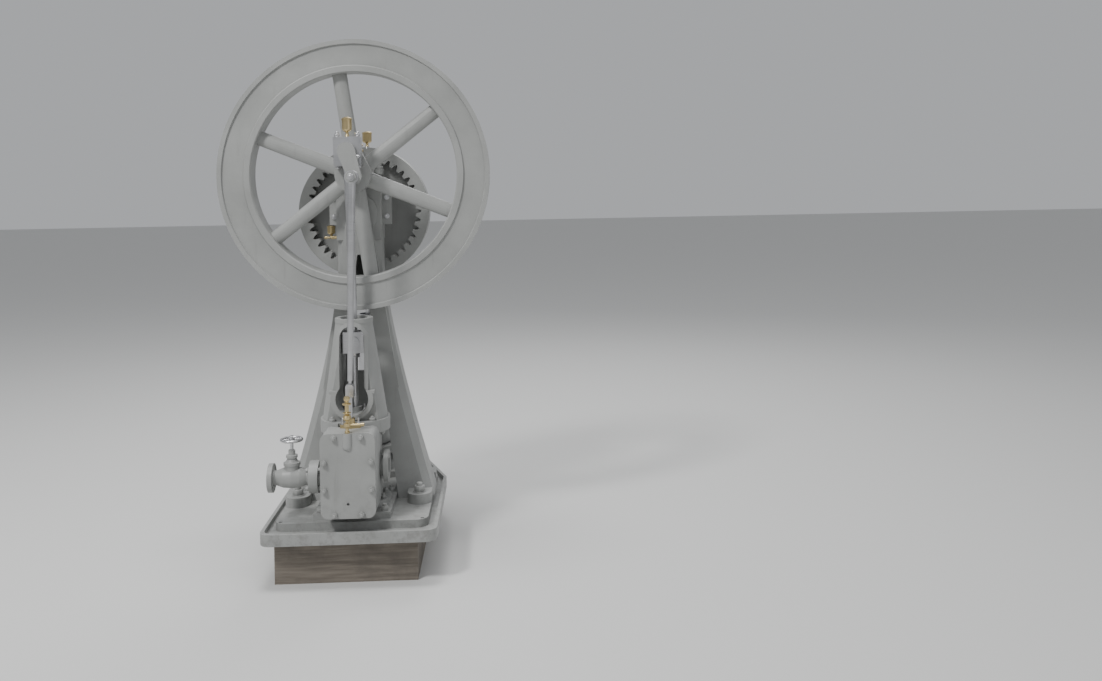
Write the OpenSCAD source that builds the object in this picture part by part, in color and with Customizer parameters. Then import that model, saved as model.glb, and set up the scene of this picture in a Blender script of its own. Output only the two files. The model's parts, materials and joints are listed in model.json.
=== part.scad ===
// Steam-driven geared plunger pump, all sizes in millimetres.
// X points right as seen from the steam side, Y points from the steam side to the
// pump side, Z points up. The origin is on the ground, under the steam cylinder's axis.

/* [Stand] */
// Height of both timber supports
support_h = 150; // [110:1:220]
// Width of the timber block under the steam end
block_w = 492; // [400:1:560]
// Distance that the timber block stands to the left of the cylinder axis
block_shift = 14; // [0:1:30]
// Distance from the cylinder axis to the front of the block
block_front = 185; // [150:1:215]
// Distance from the cylinder axis to the back of the block
block_back = 215; // [150:1:240]
// Radius of the round timber under the pump end
drum_r = 200; // [150:1:210]

/* [Base] */
// Width of the drip tray
tray_w = 604; // [596:1:680]
// Distance from the cylinder axis to the steam end of the tray
tray_front = 245; // [235:1:300]
// Distance from the cylinder axis to where the tray begins to narrow
tray_shoulder = 400; // [392:1:430]
// Radius of the rounded pump end of the tray
tray_nose_r = 220; // [205:1:250]
// Distance from the barrel axis to the centre of the rounded pump end
tray_nose_offset = 160; // [140:1:190]
// Radius of the two steam end corners
tray_corner_r = 42; // [25:1:60]
// Thickness of the tray's floor
tray_floor = 22; // [14:1:28]
// Height of the tray's rim above its underside
rim_h = 40; // [32:1:46]
// Thickness of the rim
rim_t = 12; // [8:1:16]
// Height of the raised deck above the tray's underside
deck_h = 50; // [44:1:70]
// Gap between the tray's side and the deck
trough_side = 36; // [24:1:44]
// Gap between the tray's ends and the deck
trough_end = 85; // [60:1:90]
// Radius of the small drain and dowel holes in the deck
deck_hole_r = 7; // [4:1:10]

/* [Column] */
// Half of the column's width at its foot
foot_hw = 272; // [255:1:280]
// Half of the column's width at the bearing head
head_hw = 84; // [78:1:95]
// Height of the column's upper edge above the deck
column_h = 960; // [945:1:975]
// Distance from the cylinder axis to the column's steam face at its foot
foot_front = 95; // [90:1:110]
// Distance from the cylinder axis to the column's steam face at its head
head_front = 172; // [168:1:180]
// Distance from the cylinder axis to the column's pump face
column_back = 300; // [290:1:312]
// Thickness of the column's walls
column_wall = 18; // [12:1:24]
// Width of the bevel along the column's outer edges
column_bevel = 26; // [15:1:34]
// Half of the opening between the legs on the steam side, at the deck
leg_gap_hw = 140; // [120:1:160]
// Distance from the column's upper edge down to where the legs meet
apex_drop = 55; // [40:1:75]
// Half of the slot in the pump face
slot_hw = 42; // [30:1:52]
// Height of the slot's lower end above the deck
slot_low = 445; // [400:1:500]
// Distance from the column's upper edge down to the slot's upper end
slot_drop = 150; // [120:1:180]
// Radius of the arch in the pump face
arch_r = 120; // [90:1:135]
// Height of the arch's crown above the deck
arch_h = 306; // [260:1:340]
// Radius of the foot lugs
lug_r = 44; // [34:1:46]
// Thickness of the foot lugs
lug_t = 36; // [24:1:42]
// Distance of the foot bolts from the centre line
lug_x = 222; // [210:1:226]
// Radius of the foot bolt holes
lug_hole_r = 12; // [8:1:15]
// How far the A-shaped rib stands out of the head
rib_t = 14; // [8:1:14]
// Half of the rib's width at its lower end
rib_low_hw = 142; // [130:1:150]
// Half of the rib's width at its upper end
rib_top_hw = 31; // [26:1:36]
// Height of the rib's lower end above the deck
rib_low = 400; // [380:1:430]
// Height of the rib's upper end above the column's upper edge
rib_up = 178; // [170:1:180]

/* [Bearings] */
// Height of the crankshaft's axis above the column's upper edge
crank_up = 248; // [240:1:255]
// Radius of the crankshaft
shaft_r = 30; // [25:1:34]
// Radius of the disc's shaft
disc_shaft_r = 35; // [30:1:40]
// Radius of the round boss round the disc's shaft
disc_boss_r = 73; // [60:1:78]
// Height that the round boss stands proud of the head
disc_boss_t = 8; // [4:1:10]
// Half of the width of the crankshaft bearing
crank_seat_hw = 62; // [52:1:70]
// Radius of the crankshaft bearing's cap
cap_r = 58; // [50:1:64]
// Height of the cap's oil boss above the shaft's axis
cap_boss_h = 88; // [76:1:100]
// Width of the side wings of the bearing head
wing_w = 34; // [24:1:44]
// Thickness of the side wings
wing_t = 20; // [14:1:28]
// Height of the side wings
wing_h = 128; // [110:1:130]
// Running clearance of shafts and pins, on the radius
run_clear = 0.05; // [0.02:0.01:0.08]

/* [Steam cylinder] */
// Width of the square foot under the cylinder
pad_w = 270; // [250:1:290]
// Thickness of the square foot
pad_t = 22; // [16:1:30]
// Distance of the foot's studs from the cylinder axis
pad_stud = 112; // [104:1:118]
// Bore of the cylinder, radius
cyl_bore_r = 62; // [50:1:70]
// Outer radius of the cylinder
cyl_r = 92; // [84:1:98]
// Radius of the cylinder's two flanges
cyl_flange_r = 124; // [116:1:128]
// Thickness of the cylinder's flanges
cyl_flange_t = 22; // [16:1:28]
// Height of the cylinder with both flanges
cyl_h = 288; // [280:1:320]
// Width of the steam chest
chest_w = 188; // [170:1:200]
// Height of the steam chest
chest_h = 292; // [270:1:300]
// Corner radius of the steam chest and its cover
chest_corner = 27; // [15:1:35]
// Distance from the cylinder axis to the chest's joint face
chest_front = 199; // [190:1:210]
// Gap between the chest and the square foot
chest_lift = 6; // [4:1:8]
// Thickness of the chest's walls
chest_wall = 28; // [20:1:34]
// Depth of the hollow in the chest
chest_depth = 88; // [80:1:92]
// Thickness of the chest's cover
cover_t = 16; // [10:1:22]
// Radius of the upright boss on the cover
cover_boss_r = 18; // [14:1:20]
// Height of the upright boss on the cover
cover_boss_h = 44; // [30:1:60]
// Radius of the holes for the cover's studs
cover_hole_r = 6; // [4:0.5:8]
// Distance from the cylinder axis to the valve rod's plane
valve_plane = 128; // [124:1:136]

/* [Steam pipes] */
// Radius of the steam inlet flanges
inlet_flange_r = 56; // [50:1:60]
// Thickness of the pipe flanges
pipe_flange_t = 16; // [12:1:20]
// Radius of the steam inlet's bore
inlet_bore_r = 20; // [14:1:24]
// Height of the inlet's axis above the deck
inlet_height = 152; // [140:1:165]
// Length of the chest's inlet stub
inlet_stub = 32; // [24:1:40]
// Radius of the exhaust flange
exhaust_flange_r = 57; // [50:1:62]
// Distance from the cylinder axis to the exhaust flange's face
exhaust_reach = 122; // [118:1:135]
// Radius of the exhaust's bore
exhaust_bore_r = 27; // [20:1:30]
// Radius of the stub behind the exhaust flange
exhaust_stub_r = 38; // [34:1:42]
// Height of the exhaust's axis above the deck
exhaust_height = 161; // [150:1:170]
// Distance of the exhaust's axis in front of the cylinder axis
exhaust_front = 40; // [34:1:48]
// Depth of the pipe bores
pipe_bore_depth = 50; // [40:1:55]
// Radius of the bolt circle of the pipe flanges
pipe_bolt_r = 42; // [38:1:46]
// Radius of the bolt circle of the stop valve's outer flange
valve_bolt_r = 38; // [34:1:42]
// Radius of the bolt holes in the pipe flanges
pipe_hole_r = 6; // [4:0.5:7]
// Number of bolts in each pipe flange
pipe_bolts = 4; // [3:1:6]

/* [Stop valve] */
// Length of the stop valve over its flanges
valve_len = 159; // [145:1:170]
// Radius of the stop valve's outer flange
valve_flange_r = 50; // [46:1:56]
// Radius of the globe
globe_r = 34; // [30:1:40]
// Radius of the waist beside the globe
waist_r = 26; // [24:1:30]
// Radius of the bonnet
bonnet_r = 29; // [24:1:34]
// Height of the bonnet's lower face above the valve's axis
bonnet_low = 44; // [38:1:50]
// Height of the bonnet
bonnet_h = 24; // [18:1:30]
// Radius of the valve's gland nut
gland_nut_r = 15; // [12:1:18]
// Height of the gland and its nut
gland_nut_h = 30; // [24:1:36]
// Radius of the valve's stem
stem_r = 6; // [5:0.5:8]
// Height of the handwheel above the valve's axis
handwheel_h = 132; // [120:1:150]
// Outer radius of the handwheel
handwheel_r = 40; // [34:1:48]
// Radius of the handwheel's rim bar
handwheel_bar = 5; // [4:0.5:6]

/* [Crosshead guide] */
// Height of the guide with both flanges
guide_h = 380; // [370:1:385]
// Bore of the guide, radius
guide_bore_r = 50; // [46:1:54]
// Radius of the guide's body at its lower end
guide_low_r = 116; // [104:1:120]
// Radius of the guide's body at its upper end
guide_top_r = 64; // [60:1:68]
// Radius of the guide's top flange
guide_flange_r = 68; // [66:1:74]
// Thickness of the guide's top flange
guide_flange_t = 16; // [12:1:22]
// Thickness of the guide's floor
guide_floor = 34; // [26:1:40]
// Half of the slots' width
guide_slot_hw = 44; // [36:1:46]
// Height of the slots' round top above the guide's joint face
guide_slot_top = 358; // [340:1:360]
// Radius of the larger opening over the gland
gland_window_r = 58; // [50:1:64]
// Height of that opening's centre above the guide's joint face
gland_window_h = 100; // [90:1:110]
// Half of the guide's depth between its flat faces
guide_depth = 72; // [66:1:80]
// Width of the raised lip round the guide's slots
lip_w = 13; // [8:1:18]
// Height of the raised lip round the guide's slots
lip_out = 8; // [4:1:12]
// Clearance of the crosshead, piston and rods where they slide
slide_clear = 1; // [0.8:0.1:1.5]
// Radius of the piston rod's gland
gland_r = 24; // [20:1:28]
// Height of the piston rod's gland
gland_h = 24; // [20:1:26]
// Radius of the gland's flange ends
gland_ear_r = 13; // [10:1:15]
// Distance of the gland's studs from its axis
gland_stud = 33; // [30:1:35]
// Radius of the valve gland's flange ends
valve_ear_r = 10; // [8:1:12]
// Radius of the valve spindle's gland
valve_gland_r = 16; // [14:1:20]
// Height of the valve spindle's gland
valve_gland_h = 34; // [26:1:44]
// Distance of the valve gland's studs from its axis
valve_gland_stud = 27; // [24:1:32]

/* [Crank train] */
// Radius of the crank
crank_r = 85; // [80:1:90]
// Angle of the crank from top dead centre, towards the left
crank_angle = 8; // [2:1:12]
// Radius of the crank pin
crank_pin_r = 25; // [20:1:28]
// Height of the crosshead's pin above the guide's joint face, at half stroke
guide_mid = 208; // [198:1:213]
// Radius of the connecting rod at the big end
rod_big_r = 17; // [14:1:20]
// Radius of the connecting rod at the small end
rod_small_r = 13; // [11:1:15]
// Width of the big end
big_end_w = 98; // [90:1:104]
// Height of the big end above and below the pin
big_end_h = 53; // [46:1:58]
// Thickness of the big end
big_end_t = 46; // [40:1:50]
// Gap between the big end and what stands beside it
side_gap = 5; // [4:0.5:6]
// Radius of the small end's eye
small_eye_r = 27; // [24:1:30]
// Thickness of the small end's eye
small_eye_t = 34; // [28:1:36]
// Radius of the crosshead's pin
gudgeon_r = 14; // [11:1:16]
// Height of the crosshead above and below its pin
crosshead_h = 38; // [34:1:44]
// Half of the crosshead's depth between its flats
crosshead_flat = 32; // [28:1:36]
// Height of the socket under the crosshead
socket_h = 14; // [10:1:15]
// Height of the collar under the socket
collar_h = 4; // [3:1:4]
// Radius of the piston rod
piston_rod_r = 12; // [10:1:14]
// Height of the piston
piston_t = 45; // [36:1:48]
// Distance from the crosshead's pin to the piston's top
piston_drop = 320; // [316:1:326]
// Radius of the return crank at the crank pin
return_big_r = 32; // [28:1:34]
// Radius of the return crank at the valve pin
return_small_r = 24; // [20:1:26]
// Thickness of the return crank
return_t = 24; // [18:1:28]
// Radius at which the valve pin turns
valve_crank_r = 20; // [16:1:24]
// Angle of the valve pin from the right, downwards
valve_pin_angle = 28; // [20:1:36]
// Radius of the valve pin
valve_pin_r = 12; // [10:1:14]
// Height of the valve rod's knuckle above the steam chest
knuckle_up = 140; // [136:1:144]
// Radius of the valve rod's upper end
valve_rod_big_r = 15; // [12:1:16]
// Radius of the valve rod's lower end
valve_rod_small_r = 9; // [7:1:10]
// Radius of the valve rod's eye
valve_eye_r = 24; // [20:1:27]
// Thickness of the valve rod's ends
valve_eye_t = 26; // [20:1:28]
// Radius of the valve spindle
spindle_r = 8; // [6:0.5:9]
// Radius of the valve spindle's knuckle pin
knuckle_pin_r = 7; // [6:0.5:8]
// Thickness of each cheek of the spindle's fork
fork_t = 8; // [6:1:9]
// Gap between the cheeks of the spindle's fork
fork_gap = 16; // [14.5:0.5:18]
// Width of the material round the knuckle's pin
fork_wall = 7; // [5:1:8]
// Clearance of the opened pivot at the knuckle
open_pivot = 3; // [2.5:0.1:3.5]

/* [Flywheel] */
// Outer radius of the flywheel
wheel_r = 500; // [480:1:505]
// Radial depth of the flywheel's rim
wheel_rim = 122; // [100:1:130]
// Width of the flywheel's rim
wheel_w = 90; // [80:1:95]
// Distance from the cylinder axis to the flywheel's front face
wheel_front = 60; // [58:1:64]
// Width of the outer bead on the rim's faces
bead_w = 16; // [10:1:22]
// Width of the inner bead on the rim's faces
inner_bead_w = 24; // [12:1:30]
// Depth of the rim's faces between the beads
bead_t = 7; // [3:1:9]
// Radius of the flywheel's hub
hub_r = 66; // [60:1:70]
// Distance from the cylinder axis to the hub's front face
hub_front = 28; // [27:1:30]
// Radius of the boss round the crank pin
pin_boss_r = 38; // [34:1:44]
// Number of spokes
spokes = 6; // [5:1:8]
// Half of a spoke's width at the hub
spoke_hw = 29; // [24:1:34]
// Half of a spoke's thickness at the hub
spoke_ht = 18; // [14:1:22]
// Share of the spoke's section that is left at the rim
spoke_taper = 0.94; // [0.7:0.02:1]

/* [Gears and pump crank] */
// Tooth module
gear_m = 10.5; // [10:0.1:11]
// Teeth of the internal ring
ring_teeth = 40; // [38:1:42]
// Teeth of the pinion
pinion_teeth = 12; // [11:1:13]
// Pressure angle of the teeth
gear_pa = 20; // [18:0.5:22]
// Play between meshing teeth, on the pitch circle
gear_play = 1.4; // [1:0.1:2]
// Width of the toothed ring
ring_w = 58; // [50:1:60]
// Width of the pinion
pinion_w = 46; // [40:1:50]
// Distance from the column's pump face to the ring
ring_gap = 30; // [24:1:36]
// Outer radius of the crank disc
disc_r = 255; // [250:1:262]
// Thickness of the crank disc's plate
disc_plate = 17; // [12:1:22]
// Height of the raised rims on the disc's pump face
disc_rim_t = 15; // [10:1:20]
// Height of the plain band between the rims
disc_band_t = 7; // [4:1:9]
// Width of the disc's outer rim
disc_rim_w = 17; // [12:1:22]
// Outer radius of the disc's inner rim
disc_inner_r = 197; // [190:1:204]
// Width of the disc's inner rim
disc_inner_w = 13; // [9:1:16]
// Half of the width of the upright bar on the disc
disc_bar_hw = 60; // [50:1:66]
// Thickness of the upright bar on the disc
disc_bar_t = 8; // [5:1:10]
// Radius of the disc's hub
disc_hub_r = 58; // [52:1:64]
// Radius of the pump crank
pump_crank_r = 200; // [196:1:206]
// Radius of the pump crank pin
pump_pin_r = 24; // [20:1:28]
// Distance from the disc's highest face to the pump rod's eye
pump_pin_gap = 18; // [14:1:22]

/* [Pump] */
// Radius of the pump rod
pump_rod_r = 18; // [15:1:20]
// Radius of the pump rod's upper eye
pump_eye_r = 45; // [40:1:50]
// Thickness of the pump rod's upper eye
pump_eye_t = 44; // [36:1:50]
// Height of the plunger's lower end above the deck, at the top of its stroke
plunger_up = 225; // [215:1:232]
// Radius of the pump rod's lower eye
pump_low_eye_r = 25; // [22:1:27]
// Thickness of the pump rod's lower eye
pump_low_eye_t = 40; // [34:1:44]
// Radius of the plunger's pin
plunger_pin_r = 12; // [10:1:14]
// Outer radius of the trunk plunger
plunger_r = 49; // [46:1:52]
// Thickness of the plunger's wall
plunger_wall = 7; // [5:1:8]
// Radius of the flares beside the pump rod's upper eye
pump_flare_r = 26; // [22:1:30]
// Height of the flare under the pump rod's upper eye
pump_flare_h = 30; // [24:1:36]
// Radius of the seat under the pump rod's oil cup
pump_seat_r = 12; // [10:1:14]
// Height of the seat under the pump rod's oil cup
pump_seat_h = 16; // [12:1:20]
// Length of the plunger
plunger_len = 420; // [410:1:424]
// Thickness of the plunger's closed end
plunger_end = 12; // [8:1:14]
// Distance from the plunger's lower end to its pin
plunger_pin_up = 375; // [365:1:380]
// Clearance of the plunger in its gland, on the radius
plunger_clear = 0.35; // [0.3:0.05:0.5]
// Gap between the plunger and the barrel's bore
barrel_gap = 5; // [4:0.5:7]
// Thickness of the barrel's wall
barrel_wall = 14; // [10:1:16]
// Depth of the barrel below the deck
barrel_depth = 190; // [180:1:195]
// Gap round the barrel where it passes the tray and the timber
barrel_hole_gap = 3; // [1:0.5:6]
// Height of the barrel above the deck
barrel_h = 222; // [210:1:226]
// Radius of the barrel's flange pair
barrel_flange_r = 113; // [100:1:115]
// Height of the barrel's flange pair above the deck
barrel_flange_h = 110; // [95:1:120]
// Radius of the barrel's stuffing box
barrel_box_r = 78; // [72:1:84]
// Thickness of one pump flange
pump_flange_t = 15; // [11:1:18]
// Radius of the round foot plate
foot_plate_r = 175; // [165:1:180]
// Thickness of the round foot plate
foot_plate_t = 24; // [18:1:28]
// Distance of the foot plate's centre past the barrel's axis
foot_plate_offset = 60; // [50:1:66]
// Radius across the octagonal gland plate's corners
gland_plate_r = 100; // [90:1:108]
// Thickness of the gland plate
gland_plate_t = 15; // [11:1:20]
// Distance of the gland plate's studs from the axis
gland_plate_stud = 80; // [74:1:84]

/* [Valve chest] */
// Distance from the barrel's axis to the valve chest's axis
vchest_offset = 180; // [178:1:186]
// Radius of the valve chest's lower flange pair
vchest_flange_r = 108; // [100:1:110]
// Height of the bowl under the lower flange pair
bowl_h = 31; // [26:1:38]
// Radius of the bowl's lower end
bowl_low_r = 50; // [44:1:54]
// Radius of the bowl's upper end
bowl_top_r = 64; // [56:1:70]
// Width of the valve chest
vchest_w = 162; // [150:1:176]
// Depth of the valve chest
vchest_d = 128; // [120:1:134]
// Height of the valve chest
vchest_h = 183; // [170:1:190]
// How far the chest's top plate stands out
vchest_lip = 9; // [6:1:12]
// Thickness of the chest's top plate
vchest_lip_t = 13; // [10:1:16]
// Radius of the chest's neck
neck_r = 38; // [34:1:42]
// Height of the chest's neck
neck_h = 42; // [34:1:48]
// Radius of the delivery flange
delivery_r = 92; // [86:1:98]
// Radius of the delivery bore
delivery_bore_r = 30; // [24:1:32]
// Depth of the delivery bore
delivery_depth = 60; // [50:1:70]
// Radius of the delivery flange's bolt circle
delivery_bolt_r = 70; // [64:1:78]
// Width of the chest's two windows
window_w = 34; // [28:1:38]
// Height of the chest's two windows
window_h = 96; // [80:1:104]
// Depth of the chest's two windows
window_d = 14; // [10:1:18]
// Distance of the side bosses from the chest's axis
ear_x = 96; // [92:1:104]
// Radius of the side bosses
ear_r = 21; // [17:1:24]
// Radius of the bridge bar
bridge_r = 9; // [7:1:11]
// How far the bridge bar stands out from the chest
bridge_out = 44; // [36:1:52]

/* [Hidden] */
$fn = 64;

paint = "#9a9a96";
bare_steel = "#b9bbbd";
yellow_brass = "#b08d4a";
timber = "#4e463d";

// Heights
z_floor = support_h + tray_floor;
z_rim = support_h + rim_h;
z_deck = support_h + deck_h;
z_head = z_deck + column_h;
z_crank = z_head + crank_up;
leg_apex = column_h - apex_drop;
slot_high = column_h - slot_drop;
rib_high = column_h + rib_up;
centre_dist = gear_m * (ring_teeth - pinion_teeth) / 2;
z_disc = z_crank - centre_dist;
z_pad = z_deck + pad_t;
z_joint = z_pad + cyl_h;
z_chest = z_pad + chest_lift;
z_chest_top = z_chest + chest_h;
z_guide_top = z_joint + guide_h;
z_inlet = z_deck + inlet_height;
z_exhaust = z_deck + exhaust_height;

// Planes across the machine
wheel_back = wheel_front + wheel_w;
ring_front = column_back + ring_gap;
ring_back = ring_front + ring_w;
disc_back = ring_back + disc_plate;
disc_face = disc_back + disc_rim_t;
barrel_y = disc_face + pump_pin_gap + pump_eye_t / 2;
foot_plate_y = barrel_y + foot_plate_offset;
vchest_y = barrel_y + vchest_offset;
nose_y = barrel_y + tray_nose_offset;
valve_y = -valve_plane;

// Crank positions at rest
pin_x = -crank_r * sin(crank_angle);
pin_z = z_crank + crank_r * cos(crank_angle);
rod_len = z_crank - z_joint - guide_mid;
rod_tilt = asin(crank_r * sin(crank_angle) / rod_len);
z_gudgeon = pin_z - rod_len * cos(rod_tilt);
valve_x = valve_crank_r * cos(valve_pin_angle);
valve_z = z_crank - valve_crank_r * sin(valve_pin_angle);
z_knuckle = z_chest_top + knuckle_up;
valve_rod_len = norm([valve_x, valve_z - z_knuckle]);
valve_tilt = asin(valve_x / valve_rod_len);
pump_pin_z = z_disc + pump_crank_r;
z_plunger = z_deck + plunger_up;
z_plunger_pin = z_plunger + plunger_pin_up;
pump_rod_len = pump_pin_z - z_plunger_pin;
z_plate = z_deck + barrel_h;
barrel_bore = plunger_r + barrel_gap;
barrel_outer = barrel_bore + barrel_wall;

// Stop valve
valve_right = -chest_w / 2 - inlet_stub;
valve_left = valve_right - valve_len;
valve_cx = (valve_right + valve_left) / 2;
z_handwheel = z_inlet + handwheel_h;

// Pump valve chest
z_vflange = z_deck + foot_plate_t + bowl_h;
z_vchest = z_vflange + 2 * pump_flange_t;
z_vtop = z_vchest + vchest_h;
z_delivery = z_vtop + neck_h;

eps = 0.01;

// A solid cylinder along Y from y0 to y1
module along_y(x, z, r, y0, y1) {
  translate([x, y0, z]) rotate([-90, 0, 0]) cylinder(r = r, h = y1 - y0);
}

// A solid cylinder along X from x0 to x1
module along_x(y, z, r, x0, x1) {
  translate([x0, y, z]) rotate([0, 90, 0]) cylinder(r = r, h = x1 - x0);
}

// An outline drawn in X and Z, given thickness from y0 to y1
module plate_y(y0, y1) {
  translate([0, y1, 0]) rotate([90, 0, 0]) linear_extrude(height = y1 - y0) children();
}

// Two circles joined by their outer tangents
module link2d(p, rp, q, rq) {
  d = norm(q - p);
  u = atan2(q[1] - p[1], q[0] - p[0]);
  a = acos((rp - rq) / d);
  translate(p) circle(r = rp);
  translate(q) circle(r = rq);
  polygon([p + rp * [cos(u + a), sin(u + a)], q + rq * [cos(u + a), sin(u + a)],
           q + rq * [cos(u - a), sin(u - a)], p + rp * [cos(u - a), sin(u - a)]]);
}

// Rectangle from a to b with round corners
module round_rect(a, b, r) {
  translate([a[0] + r, a[1]]) square([b[0] - a[0] - 2 * r, b[1] - a[1]]);
  translate([a[0], a[1] + r]) square([b[0] - a[0], b[1] - a[1] - 2 * r]);
  for (x = [a[0] + r, b[0] - r], y = [a[1] + r, b[1] - r]) translate([x, y]) circle(r = r);
}

// Points on an arc
function arc(c, r, a0, a1, n) =
  [for (i = [0:n]) c + r * [cos(a0 + (a1 - a0) * i / n), sin(a0 + (a1 - a0) * i / n)]];

// Plan of the tray, drawn in from its edge by tx at the sides and ty at the ends
function tray_plan(tx, ty) =
  let (hw = tray_w / 2 - tx, y0 = ty - tray_front, r = tray_corner_r, nr = tray_nose_r - ty)
  concat(arc([r - hw, y0 + r], r, 180, 270, 8), arc([hw - r, y0 + r], r, 270, 360, 8),
         [[hw, tray_shoulder]], arc([0, nose_y], nr, 8, 172, 24), [[-hw, tray_shoulder]]);

// Half of the column's width at height z
function column_hw(z) =
  head_hw + (foot_hw - head_hw) * pow(max(0, 1 - (z - z_deck) / (leg_apex - 60)), 1.35);

// The column's steam face at height z
function column_front(z) =
  let (t = min(1, (z - z_deck) / (leg_apex - 205)))
  foot_front + (head_front - foot_front) * t * (2 - t);

// One ring of the column's skin, drawn in by w
function column_ring(z, w) =
  let (h = column_hw(z) - w, f = column_front(z) + w, b = column_back - w, c = column_bevel - w / 2)
  [[-h, f + c, z], [-h, b - c, z], [c - h, b, z], [h - c, b, z],
   [h, b - c, z], [h, f + c, z], [h - c, f, z], [c - h, f, z]];

// A closed skin through rings of eight points, lowest ring first
module skin8(rings) {
  n = len(rings);
  polyhedron(
    points = [for (r = rings, p = r) p],
    faces = concat(
      [[for (i = [7:-1:0]) i]],
      [for (k = [0:n - 2], i = [0:7]) [8 * k + i, 8 * k + (i + 1) % 8, 8 * k + 8 + (i + 1) % 8]],
      [for (k = [0:n - 2], i = [0:7]) [8 * k + i, 8 * k + 8 + (i + 1) % 8, 8 * k + 8 + i]],
      [[for (i = [0:7]) 8 * (n - 1) + i]]));
}

// The column's skin from z0 to z1 in n steps, drawn in by w
module column_skin(z0, z1, n, w) {
  skin8([for (i = [0:n]) column_ring(z0 + (z1 - z0) * i / n, w)]);
}

// Involute tooth flank angle at radius r for a base radius rb
function inv_angle(r, rb) = sqrt(max(0, r * r / (rb * rb) - 1)) * 180 / PI
  - acos(min(1, rb / r));

// Outline of a spur gear; cut makes the tool that cuts an internal ring
function gear_points(teeth, root, tip, half_angle) =
  let (rp = gear_m * teeth / 2, rb = rp * cos(gear_pa), r0 = max(root, rb + eps), n = 5,
       base = half_angle + inv_angle(rp, rb))
  [for (t = [0:teeth - 1])
    let (a = 360 * t / teeth)
    each concat(
      [root * [cos(a - base - eps), sin(a - base - eps)]],
      [for (i = [0:n]) let (r = r0 + (tip - r0) * i / n, d = base - inv_angle(r, rb))
        r * [cos(a - d), sin(a - d)]],
      [for (i = [n:-1:0]) let (r = r0 + (tip - r0) * i / n, d = base - inv_angle(r, rb))
        r * [cos(a + d), sin(a + d)]],
      [root * [cos(a + base + eps), sin(a + base + eps)]])];

pinion_pitch = gear_m * pinion_teeth / 2;
ring_pitch = gear_m * ring_teeth / 2;
play_angle_ring = gear_play / 4 / ring_pitch * 180 / PI;
play_angle_pinion = gear_play / 4 / pinion_pitch * 180 / PI;

module timber_block() {
  color(timber)
    translate([-block_w / 2 - block_shift, -block_front, 0]) cube([block_w, block_front + block_back, support_h]);
}

module timber_drum() {
  color(timber) translate([0, barrel_y, 0]) difference() {
    cylinder(r = drum_r, h = support_h);
    translate([0, 0, -1]) cylinder(r = barrel_outer + barrel_hole_gap, h = support_h + 2);
  }
}

module base_tray() {
  color(paint) difference() {
    union() {
      translate([0, 0, support_h]) linear_extrude(height = tray_floor) polygon(tray_plan(0, 0));
      translate([0, 0, support_h]) linear_extrude(height = rim_h) difference() {
        polygon(tray_plan(0, 0));
        polygon(tray_plan(rim_t, rim_t));
      }
      translate([0, 0, support_h]) linear_extrude(height = deck_h)
        polygon(tray_plan(trough_side, trough_end));
    }
    for (p = [[-246, -140], [246, -140], [0, nose_y + 93], [107, nose_y + 38]])
      translate([p[0], p[1], z_floor]) cylinder(r = deck_hole_r, h = deck_h);
    translate([0, barrel_y, support_h - 1]) cylinder(r = barrel_outer + barrel_hole_gap, h = deck_h + 2);
  }
}

// Half of the rib's width at height z
function rib_hw(z) =
  rib_low_hw + (rib_top_hw - rib_low_hw) * (z - z_deck - rib_low) / (rib_high - rib_low);

// The rib on the steam face between two heights
module front_rib(z0, z1) {
  plate_y(head_front - rib_t, head_front + 6) polygon([
    [-rib_hw(z0), z0], [rib_hw(z0), z0], [rib_hw(z1), z1], [-rib_hw(z1), z1]]);
}

module foot_lug(side, face_y, y) {
  translate([0, 0, z_deck]) linear_extrude(height = lug_t) difference() {
    union() {
      translate([side * lug_x, y]) circle(r = lug_r);
      translate([side * lug_x - lug_r, min(y, face_y)]) square([2 * lug_r, abs(face_y - y)]);
    }
    translate([side * lug_x, y]) circle(r = lug_hole_r);
  }
}

lug_front_y = foot_front - lug_r;
lug_back_y = column_back + lug_r;

module column() {
  color(paint) {
    difference() {
      union() {
        column_skin(z_deck, z_head, 20, 0);
        front_rib(z_deck + rib_low, z_head);
      }
      column_skin(z_deck - 1, z_deck + leg_apex, 14, column_wall);
      plate_y(0, column_back - column_wall - 1) polygon([
        [-leg_gap_hw, z_deck - 1], [leg_gap_hw, z_deck - 1],
        [6, z_deck + leg_apex], [-6, z_deck + leg_apex]]);
      plate_y(column_back - column_wall - 2, column_back + 1)
        round_rect([-slot_hw, z_deck + slot_low], [slot_hw, z_deck + slot_high], 15);
      plate_y(column_back - column_wall - 2, column_back + 1) {
        translate([0, z_deck + arch_h - arch_r]) circle(r = arch_r);
        translate([-arch_r, z_deck - 1]) square([2 * arch_r, arch_h - arch_r + 1]);
      }
    }
    for (side = [-1, 1]) {
      foot_lug(side, foot_front + 4, lug_front_y);
      foot_lug(side, column_back - 4, lug_back_y);
    }
  }
}

module bearing_head() {
  boss_front = head_front - disc_boss_t;
  color(paint) difference() {
    union() {
      translate([-head_hw, head_front, z_head])
        cube([2 * head_hw, column_back - head_front, z_crank - crank_seat_hw - z_head]);
      translate([-crank_seat_hw, head_front, z_head])
        cube([2 * crank_seat_hw, column_back - head_front, z_crank - z_head]);
      along_y(0, z_disc, disc_boss_r, boss_front, column_back + 2);
      front_rib(z_head, z_deck + rib_high);
      for (side = [-1, 1])
        translate([side * (head_hw + wing_w / 2), (head_front + column_back) / 2, z_head + wing_h / 2 + 56])
          cube([wing_w + 2 * eps, wing_t, wing_h], center = true);
    }
    along_y(0, z_crank, shaft_r + run_clear, head_front - 1, column_back + 1);
    along_y(0, z_disc, disc_shaft_r + run_clear, head_front - 2, column_back + 3);
  }
}

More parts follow.
